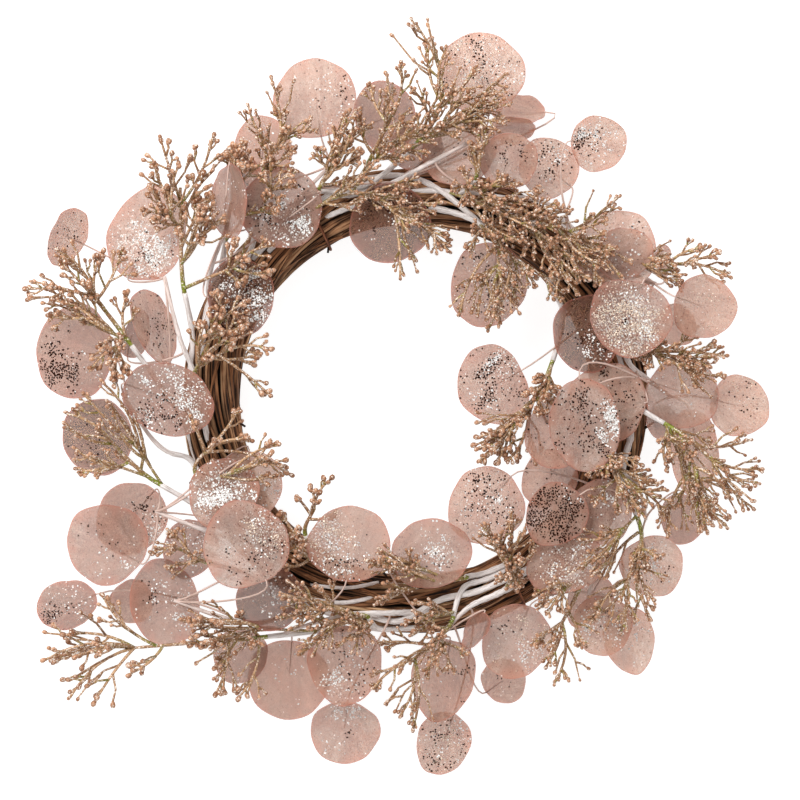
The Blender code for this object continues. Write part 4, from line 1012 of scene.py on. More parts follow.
batches = []
for radius, over in STEM_ENDS:
    # The path lies on the bundle's round top: its height is that of a circle over its place
    path = smooth([(x, y, 0.0) for x, y in over], END_RINGS)
    off_middle = np.hypot(path[:, 0], path[:, 1]) - RING_RADIUS
    top = BUNDLE_RADIUS + radius - PRESSED
    path[:, 2] = RING_HEIGHT + np.sqrt(top ** 2 - off_middle.clip(-0.9 * top, 0.9 * top) ** 2)
    along = np.concatenate([[0], np.cumsum(np.linalg.norm(np.diff(path, axis=0), axis=1))])
    to_end = np.minimum(along, along[-1] - along)
    path[:, 2] -= (2 * radius + END_DEPTH) * (1 - to_end / END_DIP).clip(0) ** 2
    radii = radius * (1 + PAPER_LUMPS * np.sin(np.linspace(0, 40, END_RINGS) + over[0][0]))
    batches.append((path[None], radii[None], STEM_SIDES, {"pink": 0.0}))
tube_piece("stem_ends_on_ring", batches, paper)


# Glitter
# Flakes of metallised film, cut as hexagons and glued on in patches: black, silver and
# champagne. Each lies at its own slight tilt. They are drawn larger and thicker than real ones,
# which would be too fine to show.

FLAKE_SIZES = {"black": 0.82, "silver": 0.82, "champagne": 0.66}
FLAKE_ROOM = {"black": 1.75, "silver": 1.35, "champagne": 1.6}   # with the glue round it
FLAKE_PLENTY = {"black": 1.4, "silver": 1.3, "champagne": 1.5}   # against the patches' counts
FLAKE_SPREAD = (0.7, 1.25)       # of sizes, smallest and largest against those above
FLAKE_HALF = 0.12                # half a flake's thickness
FLAKE_TILT = 0.35                # spread of its tilt off the leaf, in radians or nearly
FLAKE_SIDES = 6
GLITTER_EDGE = 0.97              # share of the way out on a leaf that flakes keep within
CLUMPING = 1.5                   # how strongly flakes gather in clumps
CLUMP_SIZE = 6.0                 # millimetres from one clump to the next, over 2 pi


def flake_places(leaf, height, room, rng):
    """Return places on a leaf, one at random in each square of a lattice that covers it."""
    half = np.array(leaf[2:4]) / 2
    count = np.ceil(half / room).astype(int)
    squares = np.mgrid[-count[0]:count[0], -count[1]:count[1]].reshape(2, -1).T
    level = (squares + rng.uniform(0.1, 0.9, squares.shape)) * room / half
    share = np.hypot(level[:, 0], level[:, 1])
    inside = share < GLITTER_EDGE
    angle = np.arctan2(level[:, 1], level[:, 0])
    return leaf_surface(leaf, height, share[inside], angle[inside])


def clumps(places, rng):
    """Return a weight for each place that rises and falls in clumps.

    It is e to the power of a sum of four sine waves that run different ways over the leaf.
    """
    ways = rng.uniform(0, math.pi, (4, 1)) + np.arange(4)[:, None] * math.pi / 4
    lengths = CLUMP_SIZE * rng.uniform(0.25, 1.0, (4, 1))
    shifts = rng.uniform(0, 2 * math.pi, (4, 1))
    across = places[:, 0] * np.cos(ways) + places[:, 1] * np.sin(ways)
    return np.exp(CLUMPING * np.sin(across / lengths + shifts).sum(axis=0) / 2)


def flake_finish(name, colour, metallic, roughness, specular=0.5):
    """Metallised film: one bright or dark colour that varies a little from flake to flake."""
    finish, add = new_finish(name)
    tone = add("Attribute", attribute_name="tone", output="Fac")
    light = add("MapRange", tone, 0.0, 1.0, 0.75, 1.0)
    body = add("VectorMath", linear(colour)[:3], light, operation="SCALE")
    return dress(finish, Base_Color=body, Metallic=metallic, Roughness=roughness,
                 Specular_IOR_Level=specular)


FLAKE_FINISHES = {
    "black": flake_finish("black_glitter_film", "2A120A", 0.0, 0.6, 0.05),
    "silver": flake_finish("silver_glitter_film", "FFFDFA", 0.1, 0.3),
    "champagne": flake_finish("champagne_glitter_film", "F0D9C4", 0.35, 0.3),
}
rng = np.random.default_rng(23)
flakes = {kind: [] for kind in FLAKE_FINISHES}
for leaf, height, patches in glittered:
    face = leaf_axes(leaf)[2]
    middle_point = leaf_surface(leaf, height, np.zeros(1), np.zeros(1))[0]
    for kind, right, up, spread, count in patches:
        # Of the places over the leaf, a patch keeps those that lie nearest to its middle
        places = flake_places(leaf, height, FLAKE_ROOM[kind], rng)
        level = (places[:, :2] - middle_point[:2]) / (leaf[2] / 2)
        near = np.exp(-((level - (right, up)) ** 2).sum(axis=1) / (2 * spread ** 2))
        near = near * clumps(places, rng)
        order = np.argsort(rng.uniform(0, 1, len(places)) / (near + 1e-6))
        count = round(count * FLAKE_PLENTY[kind])
        kept = places[order[:count]] + face * (FABRIC_THICKNESS / 2 + FLAKE_HALF)
        flakes[kind].append((kept, np.broadcast_to(face, kept.shape)))
for kind, parts in flakes.items():
    places = np.concatenate([part[0] for part in parts])
    faces_up = np.concatenate([part[1] for part in parts])
    count = len(places)
    normal = unit(faces_up + rng.normal(0, FLAKE_TILT, (count, 3)))
    side = unit(np.cross(normal, rng.normal(0, 1, (count, 3))))
    other = np.cross(normal, side)
    size = FLAKE_SIZES[kind] * rng.uniform(*FLAKE_SPREAD, (count, 1, 1))
    turn = (np.arange(FLAKE_SIDES) * 2 * math.pi / FLAKE_SIDES)[None, :, None]
    rim = places[:, None] + size * (np.cos(turn) * side[:, None] + np.sin(turn) * other[:, None])
    top = places + normal * FLAKE_HALF
    bottom = places - normal * FLAKE_HALF
    corners = np.concatenate([rim.reshape(-1, 3), bottom, top])
    tone = rng.uniform(0, 1, count)
    tones = np.concatenate([np.repeat(tone, FLAKE_SIDES), tone, tone])
    glitter = mesh_piece(f"{kind}_glitter", corners, grid_faces(count, 1, FLAKE_SIDES),
                         FLAKE_FINISHES[kind], {"tone": tones})
    glitter.data.polygons.foreach_set("use_smooth", np.zeros(len(glitter.data.polygons), bool))


# Bud sprays
# Moulded twigs with round buds in loose heads, washed green at the forks and coated with
# rose-gold glitter, on a stem that is wrapped in white paper up to its fork.

# For each spray: where its stem forks (x, y), its heads (x, y, radius), and single tips that
# stand out from them (x, y)
SPRAYS = (
    ((-239, 57), ((-267, 93, 34),), ((-314, 89), (-286, 112), (-251, 120))),
    ((-188, 98), ((-190, 190, 30), (-134, 112, 22)), ((-172, 151),)),
    ((-151, 150), ((-135, 203, 17),), ()),
    ((-122, 186), ((-101, 220, 24),), ((-134, 237), (-116, 259))),
    ((-77, 172), ((-65, 192, 22),), ()),
    ((-36, 195), ((-16, 235, 26),), ((-12, 271), (-36, 255))),
    ((8, 215), ((28, 250, 34),), ((-3, 306), (12, 290), (73, 263))),
    ((-36, 164), ((4, 142, 30),), ((-12, 99), (20, 122), (28, 130))),
    ((50, 182), ((53, 203, 18),), ()),
    ((60, 134), ((93, 101, 30),), ((36, 69), (59, 57), (97, 93))),
    ((101, 142), ((134, 134, 30),), ((164, 164),)),
    ((-178, 23), ((-146, 45, 26), (-154, 71, 20)), ((-116, 41), (-117, 4))),
    ((-178, -57), ((-162, -32, 28),), ((-143, -8), (-135, -32), (-100, -61))),
    ((-216, -62), ((-255, -24, 30),), ((-281, -11), (-273, -30), (-273, -55))),
    ((-89, -105), ((-79, -83, 19),), ((-67, -63), (-93, -79))),
    ((-172, -130), ((-194, -117, 18),), ()),
    ((-134, -193), ((-162, -194, 28), (-259, -203, 34)),
     ((-161, -237), (-143, -241), (-300, -211), (-284, -190), (-253, -158), (-279, -241),
      (-259, -245))),
    ((-41, -174), ((-85, -182, 30),), ()),
    ((28, -182), ((-12, -219, 30),), ((-2, -265), (-12, -254))),
    ((39, -144), ((-20, -154, 18),), ()),
    ((75, -150), ((85, -130, 20),), ()),
    ((132, -154), ((113, -190, 22),), ((112, -228),)),
    ((183, -107), ((166, -160, 27),), ((190, -176), (138, -178))),
    ((154, -45), ((168, -77, 27),), ()),
    ((210, -24), ((251, -57, 27), (223, -73, 28)),
     ((279, -55), (270, -32), (273, -87), (235, -105), (204, -109))),
    ((190, 40), ((223, 39, 24),), ((251, 36), (237, 27))),
    ((194, 112), ((223, 109, 24),), ((232, 123), (254, 99))),
    ((108, 23), ((85, -20, 30),), ((50, -39), (75, -49))),
)
SPRAY_STEM_RADIUS = 1.7          # in the CAD
SPRAY_LEAD = 12.0                # degrees of the clock from a fork back to its root,
SPRAY_LEAD_PER_MM = 0.2          # and more for each millimetre off the ring
CROWN_SHARE = 0.8                # of the way from a fork to a head's middle, where a branch ends
FALL = 0.13                      # of a spray's height, for each millimetre off the ring
FALL_START = 30.0                # past this many
FORK_HEIGHT = 62.0
HEAD_HEIGHT = 78.0
BRANCH_BOWS = (0, 8, 16, 24, -8, -16)       # up or down, as the CAD tries them
GOLDEN_ANGLE = 137.508           # degrees that each next tip or shoot stands further round
GOLDEN_SHARE = 0.618034          # of the ball's height, by which each next tip stands lower
TIP_SCATTER = 8.0                # of single tips, up or down
HEAD_FLATNESS = 0.6              # height of a head's ball of tips, as a share of its width
TWIGS_TRIED = 24                 # for one head, in the CAD and here
TWIG_ROOM = 7.0                  # millimetres of a head's radius for one of the CAD's twigs
TWIG_SPACING = 2.6               # between them, along a branch
BUD_BEND = 1.2                   # of the CAD's twigs

# Sprays also carry smaller heads that only this script draws: for a spray's number, the share of
# its stem where the branch leaves, and the head: x, y, radius
SMALL_HEADS = {
    1: ((0.75, (-247, 30, 20)), (0.7, (-292, 80, 16))),
    2: ((0.62, (-170, 150, 22)), (0.8, (-206, 158, 18))),
    3: ((0.7, (-138, 186, 24)), (0.5, (-122, 165, 16))),
    4: ((0.7, (-115, 205, 18)), (0.5, (-106, 182, 20))),
    5: ((0.7, (-52, 214, 20)), (0.5, (-40, 178, 18))),
    6: ((0.7, (4, 219, 22)), (0.5, (-20, 205, 16))),
    7: ((0.6, (38, 228, 26)), (0.7, (62, 236, 16))),
    8: ((0.6, (-8, 160, 20)),),
    9: ((0.6, (69, 156, 24)), (0.5, (44, 176, 16)), (0.3, (88, 146, 20))),
    10: ((0.7, (66, 80, 24)), (0.45, (64, 132, 22))),
    11: ((0.5, (100, 152, 24)), (0.8, (150, 109, 20)), (0.4, (108, 128, 22)),
         (0.6, (130, 104, 20))),
    12: ((0.6, (-160, 60, 18)),),
    13: ((0.6, (-120, -47, 16)),),
    14: ((0.6, (-247, -2, 20)), (0.7, (-262, -45, 18))),
    15: ((0.6, (-105, -105, 20)), (0.4, (-96, -125, 14))),
    17: ((0.45, (-178, -182, 18)),),
    18: ((0.6, (-95, -160, 20)), (0.5, (-52, -184, 20))),
    19: ((0.7, (20, -204, 20)), (0.5, (2, -178, 16))),
    20: ((0.6, (-28, -120, 14)), (0.7, (-8, -136, 14))),
    21: ((0.6, (69, -108, 18)), (0.5, (76, -140, 14))),
    22: ((0.6, (109, -158, 16)),),
    23: ((0.6, (144, -128, 20)), (0.7, (184, -132, 14))),
    24: ((0.6, (150, -42, 20)), (0.7, (190, -84, 20))),
    25: ((0.6, (206, -44, 18)), (0.7, (240, -88, 18))),
    26: ((0.7, (192, 45, 20)), (0.6, (230, 20, 18))),
    27: ((0.6, (206, 96, 16)),),
    28: ((0.6, (104, 0, 16)), (0.8, (62, -42, 16))),
}
SMALL_HEAD_HEIGHT = 86.0
HIGHEST_BRANCH = 98.0            # no branch rises past this, and no bud past the next
HIGHEST_BUD = 101.0
LOWEST_BRANCH = 6.0
LOWEST_BUD = 4.0
PAPER_SHARE = 0.73               # of a spray's stem that is wrapped: up to its fork
PAPER_RADII = (2.6, 2.1)         # at the root and at the end: of the wrapped stem,
BRONZE_RADII = (1.95, 1.35)      # of the bare one,
FORK_RADII = (1.6, 1.2)          # of a stem to a second head,
SMALL_RADII = (1.25, 0.95)       # of one to a small head,
BRANCH_RADII = (1.5, 1.0)        # and of a branch
PAPER_SIDES = 8
SPRAY_SIDES = 6
FORK_RINGS = 12
SMALL_RINGS = 9
SMALL_BOW = 6.0                  # of a stem to a small head, upwards
SPRAY_TONE = 0.35                # how pale stems are, from 0 to 1,
SMALL_TONE = 0.5                 # and those to small heads
LOOSENESS = 1.12                 # of a head against its ball of tips
BRANCH_SPACING = 4.1             # millimetres of a head's radius for one branch
BRANCH_RINGS = 7
BRANCH_SIDES = 5
BRANCH_BOW = 0.12                # sideways, as a share of its length
LEAST_BRANCH = 9.0               # length of a branch in a head,
LEAST_SMALL_BRANCH = 8.0         # and in a small one
BRANCH_LAG = (0.4, 0.8)          # how far behind its tip a branch leaves, in stem ends,
BRANCH_FEET = (0.02, 0.9)        # but between these shares of the stem's end,
SMALL_FEET = (0.25, 0.8)         # and in a small head between these
GREEN_REACH = 0.18               # of a branch that is washed green from its fork
BUD_RADIUS = 2.3
BUD_LENGTH = 5.4
BUD_SIZES = (0.75, 1.15)         # smallest and largest against those
BUD_RINGS = (1.0, 0.8, 0.42, 0.12, 0.0)     # shares of a bud's length before its tip,
BUD_SWELL = (0.4, 0.74, 1.0, 0.74, 0.3)     # and of its radius there
TWIG_RADII = (1.1, 0.92)         # of the twig that ends in it

# How much a twig's rings have of a bud's colour, and of the green wash, from its foot to its tip
BUD_COLOUR = (0.0, 0.0, 0.3, 1.0, 1.0, 1.0, 1.0)
BUD_GREEN = (1.0, 0.3, 0.0, 0.0, 0.0, 0.0, 0.0)

SIDE_PLACES = (0.32, 0.46, 0.6, 0.72)       # of side twigs along a branch
SPUR_PLACES = (0.5,)             # of a spur along a side twig
FORK_PLACES = (0.8, 0.88)        # of the last spurs along a branch
SPUR_BOW = 0.75                  # of a side twig's bow, where a spur leaves it
SPUR_SHARE = 0.6                 # of the side twigs that carry a spur,
BARE_SPUR_SHARE = 0.2            # and where more than one side place is left out
BARE = {12: 1, 13: 2, 14: 3, 15: 2}         # for sprays with barer branches: side places left out
BRANCH_TIP = 0.94                # share of a branch after which its own last twig begins,
LAST_BOW = 0.22                  # and share of its bow that is left there
TIP_EXTRA = 3.0                  # length of that twig past the branch's end
SHOOT_LEAN = 34.0                # degrees between a shoot and what it grows from
LEAN_SPREAD = 12.0
LEAST_SHOOT = 6.0
SHOOT_BEND = 0.1                 # outwards, as a share of a shoot's length
BUD_ROOM = 2.4                   # from a branch's end to any leaf or cane,
SIDE_ROOM = 2.0                  # from a side twig's end,
SPUR_ROOM = 1.8                  # and from a spur's
PLUMP_SPRAYS = (1, 2, 3, 12, 13, 15, 17, 28)       # whose buds are full size,
FINE_BUDS = 0.76                 # and the size of the other sprays' buds


def spray_point(x, y, base):
    """Return a point at a height that falls away from the base outside and inside the ring."""
    off_ring = abs(math.hypot(x, y) - RING_RADIUS)
    return np.array([x, y, base - FALL * max(0.0, off_ring - FALL_START)])


def twig_ends(head, tips, rng):
    """Spread points over a flattened ball round a head by the golden angle, tips first.

    Each next point stands a golden angle further round the ball. Its height over the ball's
    middle is one less twice the fraction left of so many golden shares, times the flatness.
    """
    x, y, radius = head
    middle = spray_point(x, y, HEAD_HEIGHT)
    ends = [np.array([tx, ty, middle[2] + rng.uniform(-1, 1) * TIP_SCATTER]) for tx, ty in tips]
    turn = rng.uniform(0, 360)
    for index in range(TWIGS_TRIED):
        rise = 1 - 2 * (index * GOLDEN_SHARE % 1)
        level = math.sqrt(1 - rise ** 2)
        direction = heading(turn + index * GOLDEN_ANGLE) * level + UP * rise * HEAD_FLATNESS
        ends.append(middle + direction * radius * rng.uniform(0.85, 1.1))
    return ends


def point_along(path, share):
    """Return the points at shares of a path's length."""
    lengths = np.concatenate([[0], np.cumsum(np.linalg.norm(np.diff(path, axis=0), axis=1))])
    return np.stack([np.interp(np.asarray(share) * lengths[-1], lengths, path[:, axis])
                     for axis in range(3)], axis=-1)


def glittered_twigs(name):
    """Moulded plastic under glitter: bronze twigs, copper-pink buds, green washed at forks,
    with light flecks that are painted glints and dark flecks that are painted dark reflections
    of the glitter. The grit is 0.9 mm wide, as real grit is too fine to show."""
    finish, add = new_finish(name)
    place = add("TexCoord", output="Object")
    tone, is_bud, green = (add("Attribute", attribute_name=key, output="Fac")
                           for key in ("tone", "bud", "green"))
    grit = add("TexVoronoi", Vector=place, Scale=1100.0, output="Color")
    first, second, third = add("SeparateColor", grit).node.outputs
    twig = add("Mix", tone, "946B47", "D2A880", data_type="RGBA")
    bud = add("Mix", tone, "9E6B4A", "D6A380", data_type="RGBA")
    body = add("Mix", is_bud, twig, bud, data_type="RGBA")
    body = add("Mix", green, body, "8A9A2B", data_type="RGBA")
    # Dark flecks: painted dark reflections of the glitter's facets.
    dark = add("MapRange", second, 0.76, 0.78, 0.0, 0.65)
    body = add("Mix", dark, body, "6A4130", data_type="RGBA")
    # Light flecks: painted glints of the glitter.
    light = add("MapRange", first, 0.82, 0.84, 0.0, 0.9)
    body = add("Mix", light, body, "F7E8D8", data_type="RGBA")
    bump = add("Bump", Height=third, Strength=0.7, Distance=0.2 * MM)
    return dress(finish, Base_Color=body, Normal=bump, Roughness=0.42, Metallic=0.15)


def tree_of(names):
    """Return a search tree of CAD nodes' faces, in millimetres from the ring's middle."""
    corners = []
    faces = []
    for name in names:
        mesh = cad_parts[name].data
        faces += [tuple(len(corners) + corner for corner in face.vertices)
                  for face in mesh.polygons]
        corners += [tuple(np.array(corner.co) / MM - RING_CENTRE) for corner in mesh.vertices]
    return BVHTree.FromPolygons(corners, faces)


others = tree_of([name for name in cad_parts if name.startswith(("leaf_pick", "vine"))])


def is_clear(start, end, room):
    """Say whether the way from start to end meets no leaf or cane and its end has room."""
    way = Vector(end - start)
    hit = others.ray_cast(Vector(start), way.normalized(), way.length + room)[0]
    near = others.find_nearest(Vector(end))[3]
    return hit is None and near > room


def bud_twigs(starts, ways, bends, sizes):
    """Return the paths and radii of twigs that end in a bud.

    A twig bends sideways near its middle. Its radius shrinks, then swells to the bud's as a
    rounded profile, widest past the bud's middle, and closes on a small flat tip. A twig that
    would rise past the wreath's top is laid lower.
    """
    lift = np.minimum(ways[:, 2], HIGHEST_BUD - starts[:, 2])
    ways = np.column_stack([ways[:, :2], lift])
    along = unit(ways)
    back = np.array(BUD_RINGS) * BUD_LENGTH
    swell = np.array(BUD_SWELL) * BUD_RADIUS
    bud = (starts + ways)[:, None] - back[:, None] * sizes[:, None, None] * along[:, None]
    paths = np.concatenate([starts[:, None], (starts + ways * 0.4 + bends)[:, None], bud], axis=1)
    stalk = np.broadcast_to(TWIG_RADII, (len(starts), 2))
    return paths, np.concatenate([stalk, swell * sizes[:, None]], axis=1)


def side_shoots(starts, ways, bows, places, rng):
    """Return starts, ways and bends of shoots that leave bowed twigs at the places along them.

    Each next shoot stands a golden angle further round its twig and leans off it by the lean.
    It is as long as what is left of its twig, so that the shoots end level, as in a loose
    umbel, and it bends out first and then runs up.
    """
    count = len(starts)
    length = np.linalg.norm(ways, axis=1, keepdims=True)
    across = unit(np.cross(ways, rng.normal(0, 1, ways.shape)))
    other = np.cross(unit(ways), across)
    shoots = []
    for step, place in enumerate(places):
        turn = step * math.radians(GOLDEN_ANGLE) + rng.uniform(-0.5, 0.5, (count, 1))
        tilt = np.radians(SHOOT_LEAN + rng.uniform(-LEAN_SPREAD, LEAN_SPREAD, (count, 1)))
        out = np.cos(turn) * across + np.sin(turn) * other
        course = np.cos(tilt) * unit(ways) + np.sin(tilt) * out
        at = place + rng.uniform(-0.06, 0.06, (count, 1))
        size = np.maximum(length * (1.02 - at) * rng.uniform(0.7, 1.05, (count, 1)), LEAST_SHOOT)
        foot = starts + ways * at + bows * (4 * at * (1 - at))
        shoots.append((foot, course * size, out * size * SHOOT_BEND))
    return [np.concatenate(parts) for parts in zip(*shoots)]


def clear_ones(starts, ways, room):
    """Return the numbers of the shoots that are clear of leaves, canes and the floor."""
    return [index for index, (start, way) in enumerate(zip(starts, ways))
            if start[2] + way[2] > LOWEST_BUD and is_clear(start, start + way, room)]


def joined(*groups):
    """Join groups of shoots, each of which is an array of starts, one of ways and one of bends."""
    return [np.concatenate(parts) for parts in zip(*groups)]


def bare_twig(path, radii, tone, green):
    """Return a batch of one bronze twig, with its radii at the root and end, and how green it
    is at each of its points."""
    return path[None], np.linspace(*radii, len(path))[None], SPRAY_SIDES, {
        "bud": 0.0, "tone": tone, "green": green[None, :, None]}


gold = glittered_twigs("rose_gold_glittered_twigs")
for number, (node, heads, tips) in enumerate(SPRAYS, start=1):
    name = f"bud_spray_{number:02d}"
    corners = node_corners(name)
    draws = np.random.default_rng(100 + number)        # as the CAD draws its twigs
    rng = np.random.default_rng(900 + number)
    off_ring = abs(math.hypot(*node) - RING_RADIUS)
    fork_clock = math.degrees(math.atan2(node[1], node[0]))
    root_clock = fork_clock + SPRAY_LEAD + SPRAY_LEAD_PER_MM * off_ring
    fork = spray_point(*node, FORK_HEIGHT)
    crown = fork + (spray_point(*heads[0][:2], HEAD_HEIGHT) - fork) * CROWN_SHARE
    points, (clock, lane) = find_stem(name, root_clock, fork, crown, SPRAY_STEM_RADIUS)
    path = smooth(points, CAD_POINTS)
    branches = [path[-3:]]
    sides = []
    for head in heads[1:]:
        end = path[-3] + (spray_point(*head[:2], HEAD_HEIGHT) - path[-3]) * CROWN_SHARE
        ways = [smooth([path[-3], (path[-3] + end) / 2 + UP * bow, end], 5)
                for bow in BRANCH_BOWS]
        side = max(ways, key=lambda way: corners_round(
            corners, way[2:], SPRAY_STEM_RADIUS * STEM_TAPER).sum())
        sides.append(side)
        branches.append(side[2:])

    # The stem: white paper from where it leaves the canes to its fork, bronze beyond
    sunk = seat_point(clock + ROOT_BACK, lane, BUNDLE_RADIUS - ROOT_SUNK)
    stem = np.vstack([sunk, smooth(points, STEM_RINGS)])
    wrapped = int(PAPER_SHARE * STEM_RINGS)
    stem[:wrapped + 1] = eased(stem[:wrapped + 1], STEM_EASE)
    lower = stem[:wrapped + 1]
    upper = stem[wrapped - 1:]
    share = np.linspace(0, 1, len(lower))
    lumps = PAPER_LUMPS * np.sin(31 * share + number)
    lower_radii = np.linspace(*PAPER_RADII, len(lower)) * (1 + lumps)
    stems = tube_piece(f"spray_stem_{number:02d}", [
        (lower[None], lower_radii[None], PAPER_SIDES, {"pink": 0.0})], paper)
    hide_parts(name)
    share = np.linspace(0, 1, len(upper))
    washed = np.exp(-((share - 0.15) / 0.16) ** 2)     # green just past the paper
    batches = [bare_twig(upper, BRONZE_RADII, SPRAY_TONE, washed)]
    washed = np.exp(-(np.linspace(0, 1, FORK_RINGS) / 0.2) ** 2)   # green at the fork
    batches += [bare_twig(smooth(side, FORK_RINGS), FORK_RADII, SPRAY_TONE, washed)
                for side in sides]

    # The branches of each head: to the CAD's own tips, and to more where it is clear of leaves.
    # The CAD draws a length and a bend for a twig until it has as many as it wants
    starts = []
    ends = []
    for index, head in enumerate(heads):
        own = [point for point in tips if min(
            range(len(heads)), key=lambda one: math.dist(point, heads[one][:2])) == index]
        branch = branches[index]
        length = np.linalg.norm(np.diff(branch, axis=0), axis=1).sum()
        room = len(np.arange(0.1, 1.0, TWIG_SPACING / length))
        wanted = min(max(round(head[2] / TWIG_ROOM), len(own) + 2), room)
        more = round(head[2] / BRANCH_SPACING)
        middle = spray_point(*head[:2], HEAD_HEIGHT)
        grown = 0
        done = False
        for end in twig_ends(head, own, draws):
            if not done:
                draws.uniform(0.9, 1.1)
                draws.uniform(-BUD_BEND, BUD_BEND, 3)
                done = grown == wanted
            held = np.linalg.norm(corners - end, axis=1).min() < SAME_PLACE
            grown += held and not done
            ahead = np.dot(end - branch[0], unit(branch[-1] - branch[0])) / length
            foot = np.clip(ahead - rng.uniform(*BRANCH_LAG), *BRANCH_FEET)
            start = point_along(branch, foot)
            if not held:
                end = middle + (end - middle) * LOOSENESS
                end[2] = min(end[2], HIGHEST_BRANCH)
            far = np.linalg.norm(end - start)
            if held or (more > 0 and far > LEAST_BRANCH and end[2] > LOWEST_BRANCH
                        and is_clear(start, end, BUD_ROOM)):
                starts.append(start)
                ends.append(end)
                more -= 1
    for place, head in SMALL_HEADS.get(number, ()):
        leave = point_along(stem[1:], place)
        crown = leave + (spray_point(*head[:2], SMALL_HEAD_HEIGHT) - leave) * CROWN_SHARE
        side = smooth([leave, (leave + crown) / 2 + UP * SMALL_BOW, crown], SMALL_RINGS)
        washed = np.exp(-np.linspace(0, 5, SMALL_RINGS))
        batches.append(bare_twig(side, SMALL_RADII, SMALL_TONE, washed))
        more = round(head[2] / BRANCH_SPACING) + 1
        for end in twig_ends(head, (), rng):
            end = end + UP * (SMALL_HEAD_HEIGHT - HEAD_HEIGHT)
            end[2] = min(end[2], HIGHEST_BRANCH)
            start = point_along(side, rng.uniform(*SMALL_FEET))
            far = np.linalg.norm(end - start)
            if more > 0 and far > LEAST_SMALL_BRANCH and is_clear(start, end, BUD_ROOM):
                starts.append(start)
                ends.append(end)
                more -= 1

    # A branch bows sideways by a parabola, and is washed green at its fork
    starts = np.array(starts)
    ways = np.array(ends) - starts
    count = len(starts)
    far = np.linalg.norm(ways, axis=1)
    share = np.linspace(0, 1, BRANCH_RINGS)[None, :, None]
    bow = unit(np.cross(ways, rng.normal(0, 1, (count, 3)))) * (BRANCH_BOW * far)[:, None]
    paths = starts[:, None] + ways[:, None] * share + bow[:, None] * (4 * share * (1 - share))
    radii = np.broadcast_to(np.linspace(*BRANCH_RADII, BRANCH_RINGS), (count, BRANCH_RINGS))
    green = np.exp(-(share / GREEN_REACH) ** 2) * rng.uniform(0, 1, (count, 1, 1)) ** 2
    tone = rng.uniform(0, 1, (count, 1, 1))
    batches.append((paths, radii, BRANCH_SIDES, {"bud": 0.0, "tone": tone, "green": green}))

    # Side twigs leave the branches, spurs leave the side twigs, and each ends in a bud
    bend = bow * LAST_BOW
    last = (starts + ways * BRANCH_TIP + bend,
            ways * (1 - BRANCH_TIP) - bend + unit(ways) * TIP_EXTRA, ways * 0)
    bare = BARE.get(number, 0)
    side = side_shoots(starts, ways, bow, SIDE_PLACES[bare:], rng)
    kept = clear_ones(side[0], side[1], SIDE_ROOM)
    side = [part[kept] for part in side]
    spurs = side_shoots(side[0], side[1], side[2] * SPUR_BOW, SPUR_PLACES, rng)
    forked = rng.uniform(0, 1, len(spurs[0])) < (BARE_SPUR_SHARE if bare > 1 else SPUR_SHARE)
    spurs = [part[forked] for part in spurs]
    spurs = joined(spurs, side_shoots(starts, ways, bow, FORK_PLACES, rng))
    kept = clear_ones(spurs[0], spurs[1], SPUR_ROOM)
    shoots = joined(last, side, [part[kept] for part in spurs])
    plump = 1.0 if number in PLUMP_SPRAYS else FINE_BUDS
    sizes = plump * rng.uniform(*BUD_SIZES, len(shoots[0]))
    paths, radii = bud_twigs(*shoots, sizes)
    tone = rng.uniform(0, 1, (len(sizes), 1, 1))
    is_bud = np.array(BUD_COLOUR)[None, :, None]
    green = np.array(BUD_GREEN)[None, :, None]
    green = green * rng.uniform(-1.2, 0.8, (len(sizes), 1, 1)).clip(0)
    batches.append((paths, radii, BRANCH_SIDES, {"bud": is_bud, "tone": tone, "green": green}))
    spray = tube_piece(f"spray_{number:02d}", batches, gold)
    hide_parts(name)


# Floor, light and camera
# A plain white floor, one broad soft light and a bright even sky, seen from straight above
# through a long lens.

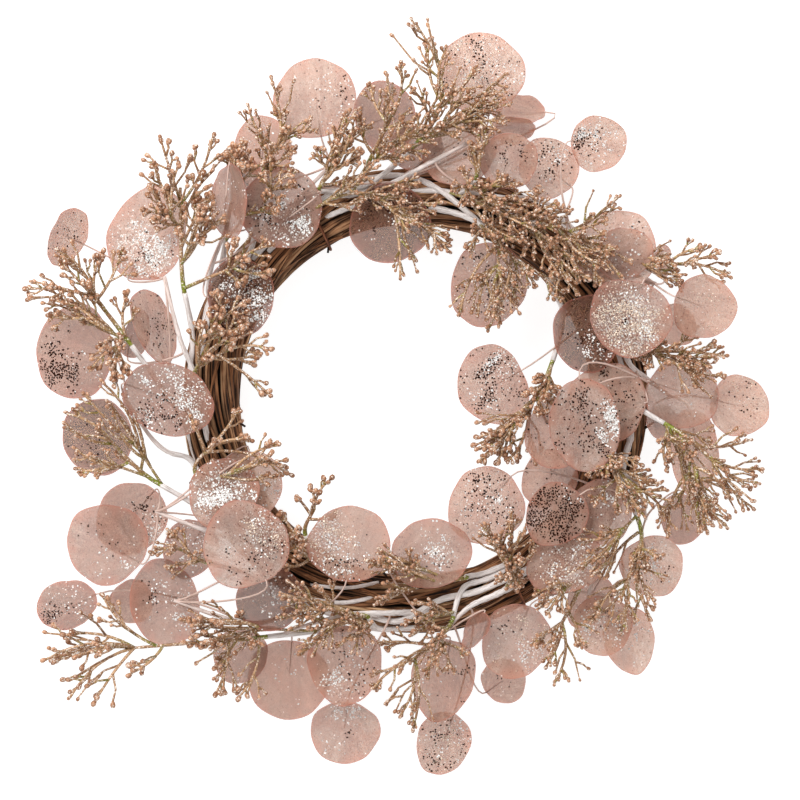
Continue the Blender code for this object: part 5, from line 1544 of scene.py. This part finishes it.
FRAME_WIDTH = 648.0              # millimetres that the picture's width takes in
FRAME_MIDDLE = np.array([-12.15, 0.0, 50.0])
CAMERA_HEIGHT = 5000.0
SENSOR = 36.0
FLOOR_HALF = 3.0                 # metres, half a side
FLOOR_DROP = 0.0005              # metres, so that it doesn't lie in the ties' undersides

# Matt painted board, lit so evenly that it looks plain white with hardly a shadow
board, _ = new_finish("white_studio_floor")
dress(board, Base_Color="B0B0B0", Roughness=0.9, Specular_IOR_Level=0.1,
      Emission_Color="FFFFFF", Emission_Strength=0.85)
floor_mesh = bpy.data.meshes.new("floor")
corners = [(x * FLOOR_HALF, y * FLOOR_HALF, -FLOOR_DROP)
           for x, y in ((-1, -1), (1, -1), (1, 1), (-1, 1))]
floor_mesh.from_pydata(corners, [], [(0, 1, 2, 3)])
floor_mesh.materials.append(board)
floor = bpy.data.objects.new("floor", floor_mesh)
bpy.context.scene.collection.objects.link(floor)

world = bpy.data.worlds.new("soft_white_sky")
bpy.context.scene.world = world
world.use_nodes = True
world.node_tree.nodes["Background"].inputs["Color"].default_value = (1.0, 1.0, 1.0, 1.0)
world.node_tree.nodes["Background"].inputs["Strength"].default_value = 0.68

lamp = bpy.data.lights.new("soft_box", "AREA")
lamp.shape = "SQUARE"
lamp.size = 1.1
lamp.energy = 42.0
soft_box = bpy.data.objects.new("soft_box", lamp)
soft_box.location = (-0.9, 1.1, 1.9)
soft_box.rotation_euler = (-soft_box.location).to_track_quat("-Z", "Y").to_euler()
bpy.context.scene.collection.objects.link(soft_box)

view = bpy.data.cameras.new("camera")
view.sensor_width = SENSOR
view.lens = SENSOR * (CAMERA_HEIGHT - FRAME_MIDDLE[2]) / FRAME_WIDTH
view.clip_end = 20.0
camera = bpy.data.objects.new("camera", view)
camera.location = (RING_CENTRE + FRAME_MIDDLE * (1, 1, 0) + UP * CAMERA_HEIGHT) * MM
bpy.context.scene.collection.objects.link(camera)
bpy.context.scene.camera = camera
bpy.context.scene.view_settings.view_transform = "Standard"
